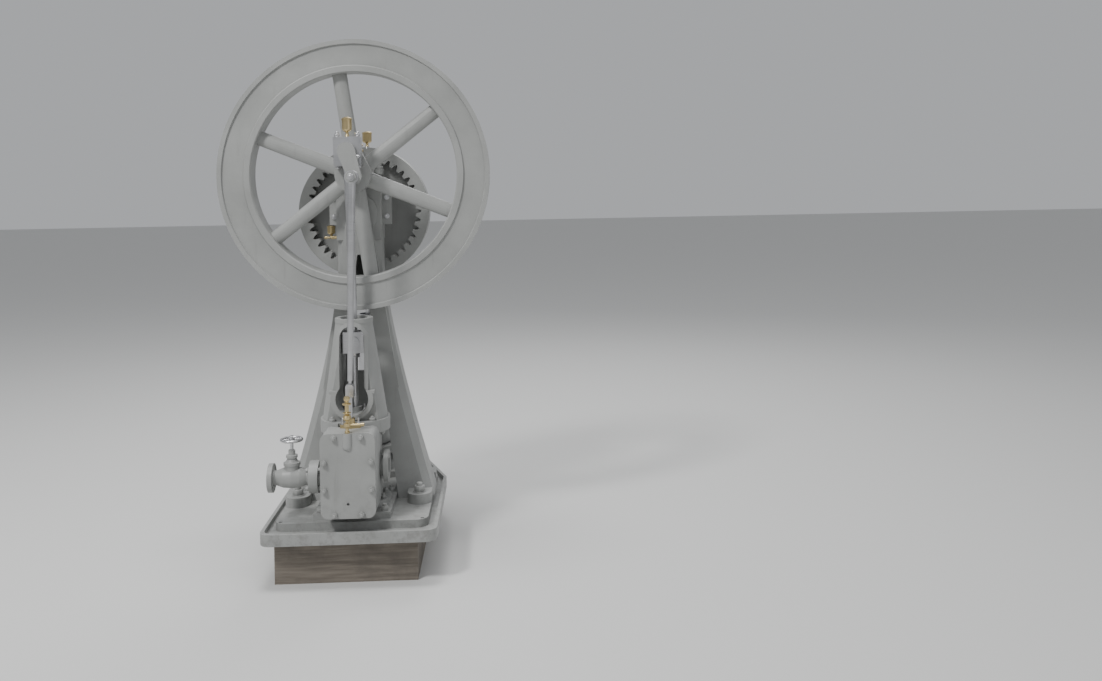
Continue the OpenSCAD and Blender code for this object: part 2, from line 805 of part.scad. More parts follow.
module shaft_cap() {
  depth = column_back - head_front - 10;
  color(paint) difference() {
    union() {
      along_y(0, z_crank, cap_r, head_front + 5, column_back - 5);
      translate([-crank_seat_hw - 22, head_front + 5, z_crank]) cube([2 * crank_seat_hw + 44, depth, 18]);
      translate([0, (head_front + column_back) / 2, z_crank]) cylinder(r = 22, h = cap_boss_h);
    }
    translate([-200, 0, z_crank - 200]) cube([400, 400, 200]);
    along_y(0, z_crank, shaft_r + run_clear, head_front - 1, column_back + 1);
  }
}

// A turned oil cup standing at the origin, height h over its neck
module oil_cup(r, h, neck) {
  rotate_extrude() polygon([
    [0, 0], [r * 0.45, 0], [r * 0.3, neck * 0.45], [r * 0.3, neck * 0.7], [r * 0.85, neck],
    [r, neck + 0.1 * h], [r, neck + 0.78 * h], [r * 1.08, neck + 0.8 * h],
    [r * 1.08, neck + 0.9 * h], [r * 0.5, neck + h], [0, neck + h]]);
}

cup_x = -head_hw - 30;
cup_y = (head_front + column_back) / 2;
cup_z = z_head + 8;

module column_oil_cup() {
  color(yellow_brass) {
    along_x(cup_y, cup_z, 6, cup_x, -head_hw);
    along_x(cup_y, cup_z, 3.5, cup_x - 16, cup_x);
    translate([cup_x, cup_y, cup_z]) oil_cup(15, 32, 15);
  }
}

module cylinder_foot() {
  color(paint) difference() {
    translate([-pad_w / 2, -pad_w / 2, z_deck]) cube([pad_w, pad_w, pad_t]);
    for (x = [-1, 1], y = [-1, 1])
      translate([x * pad_stud, y * pad_stud, z_deck - 1]) cylinder(r = lug_hole_r - 2, h = pad_t + 2);
  }
}

// Outline of the steam chest in X and Z, drawn in by w
module chest_outline(w) {
  round_rect([w - chest_w / 2, z_chest + w], [chest_w / 2 - w, z_chest_top - w], chest_corner - w / 2);
}

// Places of the eight studs round the chest's joint
chest_stud_x = chest_w / 2 - chest_wall / 2;
chest_stud_z = chest_h / 2 - chest_wall / 2;
chest_studs = [for (s = [-1, 1], t = [-1, 1]) each [
  [s * chest_stud_x * 0.58, t * chest_stud_z], [s * chest_stud_x, t * chest_stud_z * 0.36]]];

module steam_cylinder() {
  mid_z = (z_chest + z_chest_top) / 2;
  color(paint) difference() {
    union() {
      translate([0, 0, z_pad]) cylinder(r = cyl_r, h = cyl_h);
      translate([0, 0, z_pad]) cylinder(r = cyl_flange_r, h = cyl_flange_t);
      translate([0, 0, z_joint - cyl_flange_t]) cylinder(r = cyl_flange_r, h = cyl_flange_t);
      plate_y(-chest_front, -cyl_r * 0.6) chest_outline(0);
      along_x(valve_y, z_inlet, exhaust_stub_r, valve_right + pipe_flange_t / 2, -chest_w / 2 + 10);
      along_x(valve_y, z_inlet, inlet_flange_r, valve_right, valve_right + pipe_flange_t);
      along_x(-exhaust_front, z_exhaust, exhaust_stub_r, cyl_r * 0.8, exhaust_reach - 4);
      along_x(-exhaust_front, z_exhaust, exhaust_flange_r, exhaust_reach - pipe_flange_t, exhaust_reach);
    }
    translate([0, 0, z_pad + cyl_flange_t]) cylinder(r = cyl_bore_r, h = cyl_h);
    translate([0, 0, z_joint]) cylinder(r = cyl_flange_r + 0.5, h = chest_h);
    plate_y(-chest_front - 1, -chest_front + chest_depth)
      round_rect([chest_wall - chest_w / 2, z_chest + chest_wall],
                 [chest_w / 2 - chest_wall, z_chest_top - chest_wall], 12);
    translate([0, valve_y, z_chest_top - chest_wall - 1])
      cylinder(r = spindle_r + slide_clear, h = chest_wall + 2);
    for (p = chest_studs) along_y(p[0], mid_z + p[1], cover_hole_r, -chest_front - 1, -chest_front + 20);
    along_x(-exhaust_front, z_exhaust, exhaust_bore_r, exhaust_reach - pipe_bore_depth, exhaust_reach + 1);
    for (i = [0:pipe_bolts - 1])
      along_x(-exhaust_front + pipe_bolt_r * cos(45 + 360 * i / pipe_bolts),
              z_exhaust + pipe_bolt_r * sin(45 + 360 * i / pipe_bolts),
              pipe_hole_r, exhaust_reach - pipe_flange_t - 1, exhaust_reach + 1);
  }
}

lub_y = -chest_front - 9;

module chest_cover() {
  mid_z = (z_chest + z_chest_top) / 2;
  color(paint) difference() {
    union() {
      plate_y(-chest_front - cover_t, -chest_front) chest_outline(0);
      intersection() {
        union() {
          translate([0, lub_y, z_chest_top - cover_boss_h]) cylinder(r = cover_boss_r, h = cover_boss_h);
          translate([0, lub_y, z_chest_top - cover_boss_h]) sphere(r = cover_boss_r);
        }
        translate([-50, -chest_front - 100, z_chest]) cube([100, 100, chest_h + 1]);
      }
    }
    for (p = chest_studs)
      along_y(p[0], mid_z + p[1], cover_hole_r, -chest_front - cover_t - 1, -chest_front + 1);
    along_y(0, z_chest + 50, cover_hole_r - 1, -chest_front - cover_t - 1, -chest_front - cover_t + 8);
  }
}

// Outline of the guide's slot, grown by w
module slot_outline(w) {
  z_low = z_joint + gland_window_h;
  translate([0, z_joint + guide_slot_top - guide_slot_hw]) circle(r = guide_slot_hw + w);
  translate([-guide_slot_hw - w, z_low])
    square([2 * (guide_slot_hw + w), guide_slot_top - guide_slot_hw - gland_window_h]);
}

module crosshead_guide() {
  z_low = z_joint + cyl_flange_t;
  z_win = z_joint + gland_window_h;
  ledge = z_win + 30;
  color(paint) difference() {
    union() {
      translate([0, 0, z_joint]) cylinder(r = cyl_flange_r, h = cyl_flange_t);
      intersection() {
        translate([0, 0, z_low]) cylinder(r1 = guide_low_r, r2 = guide_top_r, h = guide_h - cyl_flange_t);
        translate([-200, -guide_depth, z_low]) cube([400, 2 * guide_depth, guide_h]);
      }
      intersection() {
        plate_y(-guide_depth - lip_out, guide_depth + lip_out) slot_outline(lip_w);
        translate([0, 0, z_low])
          cylinder(r1 = guide_low_r + lip_out, r2 = guide_top_r + lip_out, h = guide_h - cyl_flange_t);
      }
      intersection() {
        along_y(0, z_win, gland_window_r + lip_w + 4, -guide_depth - 2 * lip_out, guide_depth + 2 * lip_out);
        translate([-200, -200, z_low]) cube([400, 400, ledge - z_low]);
      }
      translate([-gland_window_r - lip_w - 8, -guide_depth - 2 * lip_out, ledge - 10])
        cube([2 * (gland_window_r + lip_w + 8), 2 * (guide_depth + 2 * lip_out), 10]);
      translate([0, 0, z_guide_top - guide_flange_t]) cylinder(r = guide_flange_r, h = guide_flange_t);
    }
    translate([0, 0, z_joint + guide_floor]) cylinder(r = guide_bore_r, h = guide_h);
    translate([0, 0, z_joint - 1]) cylinder(r = piston_rod_r + slide_clear, h = guide_floor + 2);
    plate_y(-200, 200) slot_outline(0);
    translate([-46, -200, z_joint - 1])
      cube([92, 200 - valve_plane + valve_gland_r + 5.5, cyl_flange_t + 2]);
    plate_y(-200, 200) intersection() {
      translate([0, z_win]) circle(r = gland_window_r);
      translate([-100, z_joint + guide_floor]) square([200, 200]);
    }
  }
}

// A gland with two ears, its axis at the origin, standing on z = 0
module eared_gland(r, h, stud, hole, ear) {
  difference() {
    union() {
      cylinder(r = r, h = h);
      linear_extrude(height = h * 0.35) {
        link2d([0, 0], r + 3, [stud, 0], ear);
        link2d([0, 0], r + 3, [-stud, 0], ear);
      }
    }
    translate([0, 0, -1]) cylinder(r = hole, h = h + 2);
  }
}

module piston_gland() {
  color(paint) translate([0, 0, z_joint + guide_floor])
    eared_gland(gland_r, gland_h, gland_stud, piston_rod_r + slide_clear, gland_ear_r);
}

module valve_gland() {
  color(paint) translate([0, valve_y, z_chest_top])
    eared_gland(valve_gland_r, valve_gland_h, valve_gland_stud, spindle_r + slide_clear, valve_ear_r);
}

module lubricator() {
  color(yellow_brass) translate([0, lub_y, z_chest_top]) {
    rotate_extrude() polygon([
      [0, 0], [9, 0], [9, 6], [6, 9], [6, 18], [11, 22], [11, 34], [6, 38], [6, 42],
      [12, 47], [15, 54], [12, 61], [6, 66], [14, 68], [14, 71], [7, 73], [7, 96],
      [15, 98], [15, 102], [7, 105], [6, 108], [9, 111], [11, 118], [9, 125], [0, 128]]);
    translate([0, 0, 28]) rotate([0, 90, 0]) cylinder(r = 4, h = 52);
    translate([48, 0, 28]) rotate([0, 90, 0]) cylinder(r = 6, h = 10);
  }
}

module stop_valve_body() {
  color(paint) difference() {
    union() {
      along_x(valve_y, z_inlet, inlet_flange_r, valve_right - pipe_flange_t, valve_right);
      along_x(valve_y, z_inlet, valve_flange_r, valve_left, valve_left + pipe_flange_t);
      along_x(valve_y, z_inlet, waist_r, valve_left + 4, valve_right - 4);
      translate([valve_cx, valve_y, z_inlet]) rotate([0, 90, 0]) rotate_extrude() polygon([
        [0, -52], [waist_r, -52], [globe_r, -30], [globe_r + 3, 0], [globe_r, 30], [waist_r, 52], [0, 52]]);
      translate([valve_cx, valve_y, z_inlet]) cylinder(r = waist_r, h = bonnet_low);
    }
    along_x(valve_y, z_inlet, inlet_bore_r, valve_left - 1, valve_left + pipe_bore_depth);
    for (i = [0:pipe_bolts - 1])
      along_x(valve_y + valve_bolt_r * cos(45 + 360 * i / pipe_bolts),
              z_inlet + valve_bolt_r * sin(45 + 360 * i / pipe_bolts),
              pipe_hole_r, valve_left - 1, valve_left + pipe_flange_t + 1);
  }
}

module stop_valve_bonnet() {
  color(paint) translate([valve_cx, valve_y, z_inlet + bonnet_low]) difference() {
    rotate_extrude() polygon([
      [0, 0], [bonnet_r, 0], [bonnet_r, bonnet_h * 0.4], [bonnet_r - 7, bonnet_h * 0.5],
      [gland_nut_r + 1, bonnet_h * 0.95], [gland_nut_r + 1, bonnet_h],
      [gland_nut_r + 5, bonnet_h + 2], [gland_nut_r + 5, bonnet_h + 11], [gland_nut_r - 3, bonnet_h + 13],
      [gland_nut_r - 3, bonnet_h + gland_nut_h - 3], [gland_nut_r - 6, bonnet_h + gland_nut_h],
      [0, bonnet_h + gland_nut_h]]);
    translate([0, 0, bonnet_h * 0.4]) cylinder(r = stem_r + run_clear, h = bonnet_h + gland_nut_h);
  }
}

module handwheel() {
  low = bonnet_low + bonnet_h * 0.4 + 6;
  ring_r = handwheel_r - handwheel_bar;
  color(bare_steel) {
    translate([valve_cx, valve_y, z_inlet + low]) cylinder(r = stem_r, h = handwheel_h - low + 14);
    translate([valve_cx, valve_y, z_handwheel]) {
      translate([0, 0, -7]) cylinder(r = stem_r + 5, h = 14);
      rotate_extrude() translate([ring_r, 0]) circle(r = handwheel_bar, $fn = 24);
      for (a = [0:90:270]) rotate([0, 90, a + 20]) cylinder(r = handwheel_bar * 0.75, h = ring_r, $fn = 24);
    }
  }
}

// One tapered oval spoke along X, from radius r0 to r1
module spoke(r0, r1) {
  n = 20;
  pts = [for (k = [0, 1], i = [0:n - 1])
    let (s = k == 0 ? 1 : spoke_taper, a = 360 * i / n)
    [k == 0 ? r0 : r1, s * spoke_ht * cos(a), s * spoke_hw * sin(a)]];
  polyhedron(points = pts, faces = concat(
    [[for (i = [0:n - 1]) i]], [[for (i = [n - 1:-1:0]) n + i]],
    [for (i = [0:n - 1]) [i, n + i, n + (i + 1) % n, (i + 1) % n]]));
}

module flywheel() {
  w = wheel_w / 2;
  inner = wheel_r - wheel_rim;
  mid = wheel_front + w;
  color(paint) {
    translate([0, mid, z_crank]) rotate([90, 0, 0]) rotate_extrude($fn = 180) polygon([
      [inner, 4 - w], [inner + 4, -w], [inner + inner_bead_w, -w], [inner + inner_bead_w + 4, bead_t - w],
      [wheel_r - bead_w - 3, bead_t - w], [wheel_r - bead_w, -w], [wheel_r, -w],
      [wheel_r, w], [wheel_r - bead_w, w], [wheel_r - bead_w - 3, w - bead_t],
      [inner + inner_bead_w + 4, w - bead_t], [inner + inner_bead_w, w], [inner + 4, w], [inner, w - 4]]);
    for (i = [0:spokes - 1])
      translate([0, mid, z_crank]) rotate([0, -90 - crank_angle - 360 * i / spokes, 0])
        spoke(hub_r - 12, inner + 4);
    along_y(0, z_crank, hub_r - 4, wheel_front - 4, head_front - side_gap);
    plate_y(hub_front, wheel_front)
      link2d([0, z_crank], hub_r, [pin_x, pin_z], pin_boss_r);
  }
}

module crankshaft() {
  color(bare_steel) along_y(0, z_crank, shaft_r, head_front - side_gap, ring_front + 2 + pinion_w);
}

module pinion() {
  half = 90 / pinion_teeth - play_angle_pinion;
  color(paint) plate_y(ring_front + 2, ring_front + 2 + pinion_w) translate([0, z_crank])
    difference() {
      rotate(90) polygon(gear_points(pinion_teeth, pinion_pitch - 1.2 * gear_m,
                                     pinion_pitch + 0.88 * gear_m, half));
      circle(r = shaft_r);
    }
}

module crank_pin() {
  color(bare_steel) along_y(pin_x, pin_z, crank_pin_r, -big_end_t / 2 - side_gap, hub_front);
}

return_back = -big_end_t / 2 - side_gap;

module return_crank() {
  color(paint) {
    plate_y(return_back - return_t, return_back)
      link2d([pin_x, pin_z], return_big_r, [valve_x, valve_z], return_small_r);
    along_y(valve_x, valve_z, valve_pin_r, valve_y - valve_eye_t / 2 - 2, return_back - return_t + eps);
    along_y(valve_x, valve_z, valve_pin_r + 7, valve_y - valve_eye_t / 2 - 10, valve_y - valve_eye_t / 2 - 2);
  }
}

// Children drawn with the crank pin at the origin and the rod straight down
module at_rod() {
  translate([pin_x, 0, pin_z]) rotate([0, -rod_tilt, 0]) children();
}

module connecting_rod() {
  color(bare_steel) at_rod() difference() {
    union() {
      translate([-big_end_w / 2, -big_end_t / 2, -big_end_h]) cube([big_end_w, big_end_t, big_end_h]);
      translate([0, 0, -rod_len + small_eye_r - 4])
        cylinder(r1 = rod_small_r, r2 = rod_big_r, h = rod_len - small_eye_r - big_end_h + 5);
      translate([0, 0, -big_end_h - 22]) cylinder(r1 = rod_big_r, r2 = big_end_t / 2 - 1, h = 22.5);
      translate([0, 0, -rod_len]) along_y(0, 0, small_eye_r, -small_eye_t / 2, small_eye_t / 2);
    }
    along_y(0, 0, crank_pin_r + run_clear, -big_end_t, big_end_t);
    translate([0, 0, -rod_len]) along_y(0, 0, gudgeon_r + run_clear, -small_eye_t, small_eye_t);
  }
}

module big_end_cap() {
  color(bare_steel) at_rod() difference() {
    translate([-big_end_w / 2, -big_end_t / 2, 0]) cube([big_end_w, big_end_t, big_end_h]);
    along_y(0, 0, crank_pin_r + run_clear, -big_end_t, big_end_t);
  }
}

module rod_oil_cup() {
  color(yellow_brass) at_rod() translate([0, 0, big_end_h]) oil_cup(18, 50, 22);
}

module crosshead() {
  r = guide_bore_r - slide_clear;
  slot = small_eye_t / 2 + side_gap - 2;
  color(bare_steel) {
    difference() {
      union() {
        intersection() {
          translate([0, 0, z_gudgeon - crosshead_h]) cylinder(r = r, h = 2 * crosshead_h);
          translate([-r - 1, -crosshead_flat, z_gudgeon - crosshead_h])
            cube([2 * r + 2, 2 * crosshead_flat, 2 * crosshead_h]);
        }
        along_y(0, z_gudgeon, gudgeon_r + 8, -crosshead_flat - 6, crosshead_flat + 6);
        translate([0, 0, z_gudgeon - crosshead_h - socket_h])
          cylinder(r1 = piston_rod_r + 5, r2 = piston_rod_r + 10, h = socket_h + 1);
      }
      translate([-r - 1, -slot, z_gudgeon - small_eye_r - side_gap])
        cube([2 * r + 2, 2 * slot, crosshead_h + small_eye_r + side_gap + 1]);
    }
    along_y(0, z_gudgeon, gudgeon_r, -slot - 5, slot + 5);
  }
}

module piston_rod() {
  z_piston = z_gudgeon - piston_drop;
  color(bare_steel) {
    translate([0, 0, z_piston]) cylinder(r = piston_rod_r, h = piston_drop - crosshead_h - socket_h);
    translate([0, 0, z_gudgeon - crosshead_h - socket_h - collar_h]) cylinder(r = piston_rod_r + 7, h = collar_h);
  }
}

module piston() {
  color(paint) translate([0, 0, z_gudgeon - piston_drop - piston_t])
    cylinder(r = cyl_bore_r - slide_clear, h = piston_t);
}

module valve_rod() {
  color(bare_steel) translate([valve_x, valve_y, valve_z]) rotate([0, valve_tilt, 0]) difference() {
    union() {
      along_y(0, 0, valve_eye_r, -valve_eye_t / 2, valve_eye_t / 2);
      translate([0, 0, -valve_rod_len + 24])
        cylinder(r1 = valve_rod_small_r, r2 = valve_rod_big_r, h = valve_rod_len - 42);
      translate([0, 0, -valve_rod_len + 12]) cylinder(r = 5.4, h = 14);
      translate([0, 0, -valve_rod_len]) along_y(0, 0, knuckle_pin_r + open_pivot + 6, -6, 6);
    }
    along_y(0, 0, valve_pin_r + run_clear, -valve_eye_t, valve_eye_t);
    translate([0, 0, -valve_rod_len]) along_y(0, 0, knuckle_pin_r + open_pivot, -30, 30);
  }
}

module valve_spindle() {
  fork_r = knuckle_pin_r + fork_wall;
  drop = knuckle_pin_r + open_pivot + fork_wall + 7;
  out = fork_gap / 2 + fork_t;
  color(bare_steel) {
    for (y = [valve_y - out, valve_y + fork_gap / 2]) {
      along_y(0, z_knuckle, fork_r, y, y + fork_t);
      translate([-fork_r, y, z_knuckle - drop]) cube([2 * fork_r, fork_t, drop]);
    }
    along_y(0, z_knuckle, knuckle_pin_r, valve_y - out + 2, valve_y + out - 2);
    translate([-fork_r, valve_y - out, z_knuckle - drop - fork_t]) cube([2 * fork_r, 2 * out, fork_t + 0.5]);
    translate([0, valve_y, z_chest + chest_wall + 70])
      cylinder(r = spindle_r, h = z_knuckle - drop - 7 - z_chest - chest_wall - 70);
  }
}

module crank_disc() {
  cut = 90 / ring_teeth + play_angle_ring;
  rim_in = disc_r - disc_rim_w;
  color(paint) {
    difference() {
      plate_y(ring_front, ring_back + eps) translate([0, z_disc]) difference() {
        circle(r = disc_r, $fn = 180);
        rotate(90)
          polygon(gear_points(ring_teeth, ring_pitch - 0.6 * gear_m, ring_pitch + 1.3 * gear_m, cut));
      }
    }
    translate([0, 0, z_disc]) rotate([-90, 0, 0]) rotate_extrude($fn = 180) polygon([
      [0, column_back + 8], [disc_hub_r, column_back + 8], [disc_hub_r, ring_back],
      [disc_r, ring_back], [disc_r, disc_face], [rim_in, disc_face],
      [rim_in, disc_back + disc_band_t], [disc_inner_r, disc_back + disc_band_t],
      [disc_inner_r, disc_face], [disc_inner_r - disc_inner_w, disc_face],
      [disc_inner_r - disc_inner_w, disc_back], [0, disc_back]]);
    translate([-disc_bar_hw, disc_back - 1, z_disc - disc_inner_r + disc_inner_w + 4])
      cube([2 * disc_bar_hw, disc_bar_t + 1, pump_crank_r * 0.83 + disc_inner_r - disc_inner_w - 4]);
    along_y(0, pump_pin_z, pump_eye_r, disc_back, disc_face + 2);
  }
}

module disc_shaft() {
  color(bare_steel) along_y(0, z_disc, disc_shaft_r, head_front + 3, column_back + 8);
}

module pump_crank_pin() {
  eye = disc_face + pump_pin_gap;
  color(bare_steel) {
    along_y(0, pump_pin_z, pump_pin_r, disc_face + 2, eye + pump_eye_t + 4);
    along_y(0, pump_pin_z, pump_pin_r + 8, disc_face + 2, eye - 3);
    along_y(0, pump_pin_z, pump_pin_r + 5, eye + pump_eye_t + 3, eye + pump_eye_t + 9);
    along_y(0, pump_pin_z, pump_pin_r - 8, eye + pump_eye_t + 9, eye + pump_eye_t + 22);
  }
}

module pump_rod() {
  color(bare_steel) difference() {
    union() {
      along_y(0, pump_pin_z, pump_eye_r, barrel_y - pump_eye_t / 2, barrel_y + pump_eye_t / 2);
      translate([0, barrel_y, z_plunger_pin + 12]) cylinder(r = pump_rod_r, h = pump_rod_len - 24);
      translate([0, barrel_y, pump_pin_z - pump_eye_r - pump_flare_h * 2 / 3])
        cylinder(r1 = pump_rod_r, r2 = pump_flare_r, h = pump_flare_h);
      translate([0, barrel_y, pump_pin_z + pump_eye_r - 6])
        cylinder(r1 = pump_flare_r - 4, r2 = pump_seat_r, h = pump_seat_h + 6);
      along_y(0, z_plunger_pin, pump_low_eye_r, barrel_y - pump_low_eye_t / 2, barrel_y + pump_low_eye_t / 2);
    }
    along_y(0, pump_pin_z, pump_pin_r + run_clear, barrel_y - pump_eye_t, barrel_y + pump_eye_t);
    along_y(0, z_plunger_pin, plunger_pin_r + run_clear, barrel_y - pump_eye_t, barrel_y + pump_eye_t);
  }
}

module pump_oil_cup() {
  color(yellow_brass) translate([0, barrel_y, pump_pin_z + pump_eye_r + pump_seat_h]) oil_cup(19, 44, 18);
}

module plunger() {
  color(bare_steel) difference() {
    union() {
      translate([0, barrel_y, z_plunger]) difference() {
        cylinder(r = plunger_r, h = plunger_len);
        translate([0, 0, plunger_end]) cylinder(r = plunger_r - plunger_wall, h = plunger_len);
      }
      intersection() {
        along_y(0, z_plunger_pin, plunger_pin_r, barrel_y - plunger_r, barrel_y + plunger_r);
        translate([0, barrel_y, z_plunger]) cylinder(r = plunger_r - 1, h = plunger_len);
      }
    }
  }
}

module pump_barrel() {
  z_low = z_deck - barrel_depth;
  z_mid = z_deck + barrel_flange_h;
  color(paint) difference() {
    union() {
      translate([0, foot_plate_y, z_deck]) cylinder(r = foot_plate_r, h = foot_plate_t);
      translate([0, barrel_y, z_low]) cylinder(r = barrel_outer, h = barrel_depth + barrel_h);
      translate([0, barrel_y, z_mid - pump_flange_t]) cylinder(r = barrel_flange_r, h = pump_flange_t - 1);
      translate([0, barrel_y, z_mid + 1]) cylinder(r = barrel_flange_r, h = pump_flange_t - 1);
      translate([0, barrel_y, z_mid + 20]) cylinder(r = barrel_box_r, h = z_plate - 22 - z_mid);
      translate([0, barrel_y, z_plate - 24]) cylinder(r = gland_plate_r, h = 24);
      along_y(0, z_mid + 72, neck_r, barrel_y + barrel_bore + 3, vchest_y - vchest_d / 2);
    }
    translate([0, barrel_y, z_low + 8]) cylinder(r = barrel_bore, h = barrel_depth + barrel_h);
  }
}

module stuffing_gland() {
  color(paint) translate([0, barrel_y, z_plate]) difference() {
    union() {
      rotate(22.5) cylinder(r = gland_plate_r, h = gland_plate_t, $fn = 8);
      cylinder(r = plunger_r + 12, h = gland_plate_t + 6);
    }
    translate([0, 0, -1]) cylinder(r = plunger_r + plunger_clear, h = gland_plate_t + 10);
  }
}

module valve_chest() {
  face = vchest_y + vchest_d / 2;
  z_win = z_vchest + 18;
  color(paint) difference() {
    union() {
      translate([0, vchest_y, z_vflange + pump_flange_t + 1])
        cylinder(r = vchest_flange_r, h = pump_flange_t - 1);
      translate([-vchest_w / 2, vchest_y - vchest_d / 2, z_vchest]) cube([vchest_w, vchest_d, vchest_h]);
      translate([-vchest_w / 2 - vchest_lip, vchest_y - vchest_d / 2, z_vtop - vchest_lip_t])
        cube([vchest_w + 2 * vchest_lip, vchest_d + vchest_lip, vchest_lip_t]);
      translate([0, vchest_y, z_vtop]) cylinder(r = neck_r, h = neck_h);
      for (s = [-1, 1]) {
        along_y(s * ear_x, z_vchest + vchest_h * 0.45, ear_r, face - 26, face + 12);
        translate([s * ear_x - ear_r, face - 26, z_vchest + vchest_h * 0.45 - 14]) cube([2 * ear_r, 26, 28]);
      }
    }
    for (s = [-1, 1])
      translate([s * (bridge_r + 8 + window_w / 2) - window_w / 2, face - window_d, z_win])
        cube([window_w, window_d + 1, window_h]);
    translate([0, vchest_y, z_delivery + 2 * pump_flange_t - delivery_depth])
      cylinder(r = delivery_bore_r, h = delivery_depth);
  }
}

module chest_bridge() {
  face = vchest_y + vchest_d / 2;
  z_low = z_vchest + 10;
  z_high = z_vtop - vchest_lip_t - 8;
  h = (z_high - z_low) / 2;
  color(paint) translate([0, face, (z_low + z_high) / 2]) {
    for (s = [-1, 1]) {
      translate([0, 0, s * (h - bridge_r)]) along_y(0, 0, bridge_r, 0, bridge_out - bridge_r);
      translate([0, bridge_out - bridge_r, s * (h - bridge_r)]) sphere(r = bridge_r);
    }
    translate([0, bridge_out - bridge_r, bridge_r - h]) cylinder(r = bridge_r, h = 2 * (h - bridge_r));
  }
}

module chest_cap_flange() {
  color(paint) translate([0, vchest_y, z_delivery]) difference() {
    union() {
      cylinder(r = delivery_r, h = pump_flange_t - 1);
      translate([0, 0, pump_flange_t + 1]) cylinder(r = delivery_r, h = pump_flange_t - 1);
      cylinder(r = neck_r, h = 2 * pump_flange_t);
    }
    translate([0, 0, -1]) cylinder(r = delivery_bore_r, h = 4 * pump_flange_t);
    for (i = [0:3]) rotate(45 + 90 * i) translate([delivery_bolt_r, 0, -1])
      cylinder(r = lug_hole_r - 4, h = 4 * pump_flange_t);
  }
}

module chest_bowl() {
  color(paint) {
    translate([0, vchest_y, z_deck + foot_plate_t]) cylinder(r1 = bowl_low_r, r2 = bowl_top_r, h = bowl_h);
    translate([0, vchest_y, z_vflange]) cylinder(r = vchest_flange_r, h = pump_flange_t - 1);
    translate([0, vchest_y, z_vflange]) cylinder(r = bowl_top_r, h = pump_flange_t + 1);
  }
}

timber_block();
timber_drum();
base_tray();
column();
bearing_head();
shaft_cap();
column_oil_cup();
cylinder_foot();
steam_cylinder();
chest_cover();
crosshead_guide();
piston_gland();
valve_gland();
lubricator();
stop_valve_body();
stop_valve_bonnet();
handwheel();
flywheel();
crankshaft();
pinion();
crank_pin();
return_crank();
connecting_rod();
big_end_cap();
rod_oil_cup();
crosshead();
piston_rod();
piston();
valve_rod();
valve_spindle();
crank_disc();
disc_shaft();
pump_crank_pin();
pump_rod();
pump_oil_cup();
plunger();
pump_barrel();
stuffing_gland();
valve_chest();
chest_bridge();
chest_cap_flange();
chest_bowl();
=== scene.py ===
"""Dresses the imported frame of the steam-driven pump.

It adds the materials, the fasteners, the small fittings, the light and the camera.
Points and sizes are in millimetres, except in the materials and the stage, which use metres.
"""

import json
import math

import bpy
from mathutils import Matrix, Vector


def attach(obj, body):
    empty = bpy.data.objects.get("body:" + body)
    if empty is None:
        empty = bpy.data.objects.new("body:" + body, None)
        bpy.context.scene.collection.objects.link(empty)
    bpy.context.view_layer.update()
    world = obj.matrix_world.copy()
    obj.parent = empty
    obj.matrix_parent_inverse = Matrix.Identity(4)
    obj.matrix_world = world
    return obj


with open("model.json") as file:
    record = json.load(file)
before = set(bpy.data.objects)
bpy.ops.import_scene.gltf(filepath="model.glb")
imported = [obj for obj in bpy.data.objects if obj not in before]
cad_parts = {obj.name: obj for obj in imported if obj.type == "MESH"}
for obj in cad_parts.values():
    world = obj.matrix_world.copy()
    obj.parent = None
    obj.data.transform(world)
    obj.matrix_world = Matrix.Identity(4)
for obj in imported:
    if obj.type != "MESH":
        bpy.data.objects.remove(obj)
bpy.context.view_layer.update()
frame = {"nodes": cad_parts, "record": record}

bl_info = {
    "name": "Steam pump dressing",
    "version": (1, 0, 0),
    "blender": (4, 5, 0),
    "location": "View3D > Sidebar > Pump",
    "description": "Adds materials, fasteners and fittings to the steam-driven pump",
    "category": "Object",
}

MM = 0.001
UP, DOWN = Vector((0, 0, 1)), Vector((0, 0, -1))
FRONT, BACK = Vector((0, -1, 0)), Vector((0, 1, 0))
LEFT, RIGHT = Vector((-1, 0, 0)), Vector((1, 0, 0))

# The record's material slots, and the material made for each
PAINT, STEEL, BRASS, TIMBER = "painted_casting", "bare_steel", "brass_fittings", "timber"
MATERIALS = {}

# Proportions of a nut, as shares of its radius over the corners
NUT_HEIGHT, NUT_BEVEL = 0.93, 0.07
WASHER_RADIUS, WASHER_TOP_RADIUS = 1.12, 1.08
WASHER_EDGE, WASHER_HEIGHT = 0.11, 0.14
STUD_RADIUS, STUD_TIP_RADIUS, STUD_TIP, STUD_OUT = 0.52, 0.4, 0.1, 0.45

# Edges flatter than this are shaded smooth
SMOOTH_ANGLE = math.radians(35)


def low_of(node):
    """The low corner of one of the frame's nodes."""
    corners = frame["nodes"][node].bound_box
    return Vector([min(c[axis] for c in corners) for axis in range(3)]) / MM


def high_of(node):
    """The high corner of one of the frame's nodes."""
    corners = frame["nodes"][node].bound_box
    return Vector([max(c[axis] for c in corners) for axis in range(3)]) / MM


def middle_of(node):
    """The middle of one of the frame's nodes."""
    return (low_of(node) + high_of(node)) / 2


def mount_place(name):
    """The place of one of the record's mounts."""
    for entry in frame["record"]["mounts"]:
        if entry["name"] == name:
            return Vector(entry["pos_m"]) / MM
    raise KeyError(name)


# Levels and planes of the machine
DECK = low_of("column").z
CRANK_Z = low_of("shaft_cap").z
BEARING_Y = middle_of("shaft_cap").y


def on_crank(radius, angle):
    """A point that goes round with the crankshaft; angle is in degrees, to the left of upright."""
    turn = math.radians(angle)
    return Vector((-radius * math.sin(turn), 0, CRANK_Z + radius * math.cos(turn)))


CRANK_PIN = on_crank(radius=85, angle=8)
VALVE_PIN = on_crank(radius=20, angle=-118)
ROD_LENGTH = 690
ROD_TILT = Matrix.Rotation(math.asin(CRANK_PIN.x / ROD_LENGTH), 3, "Y")


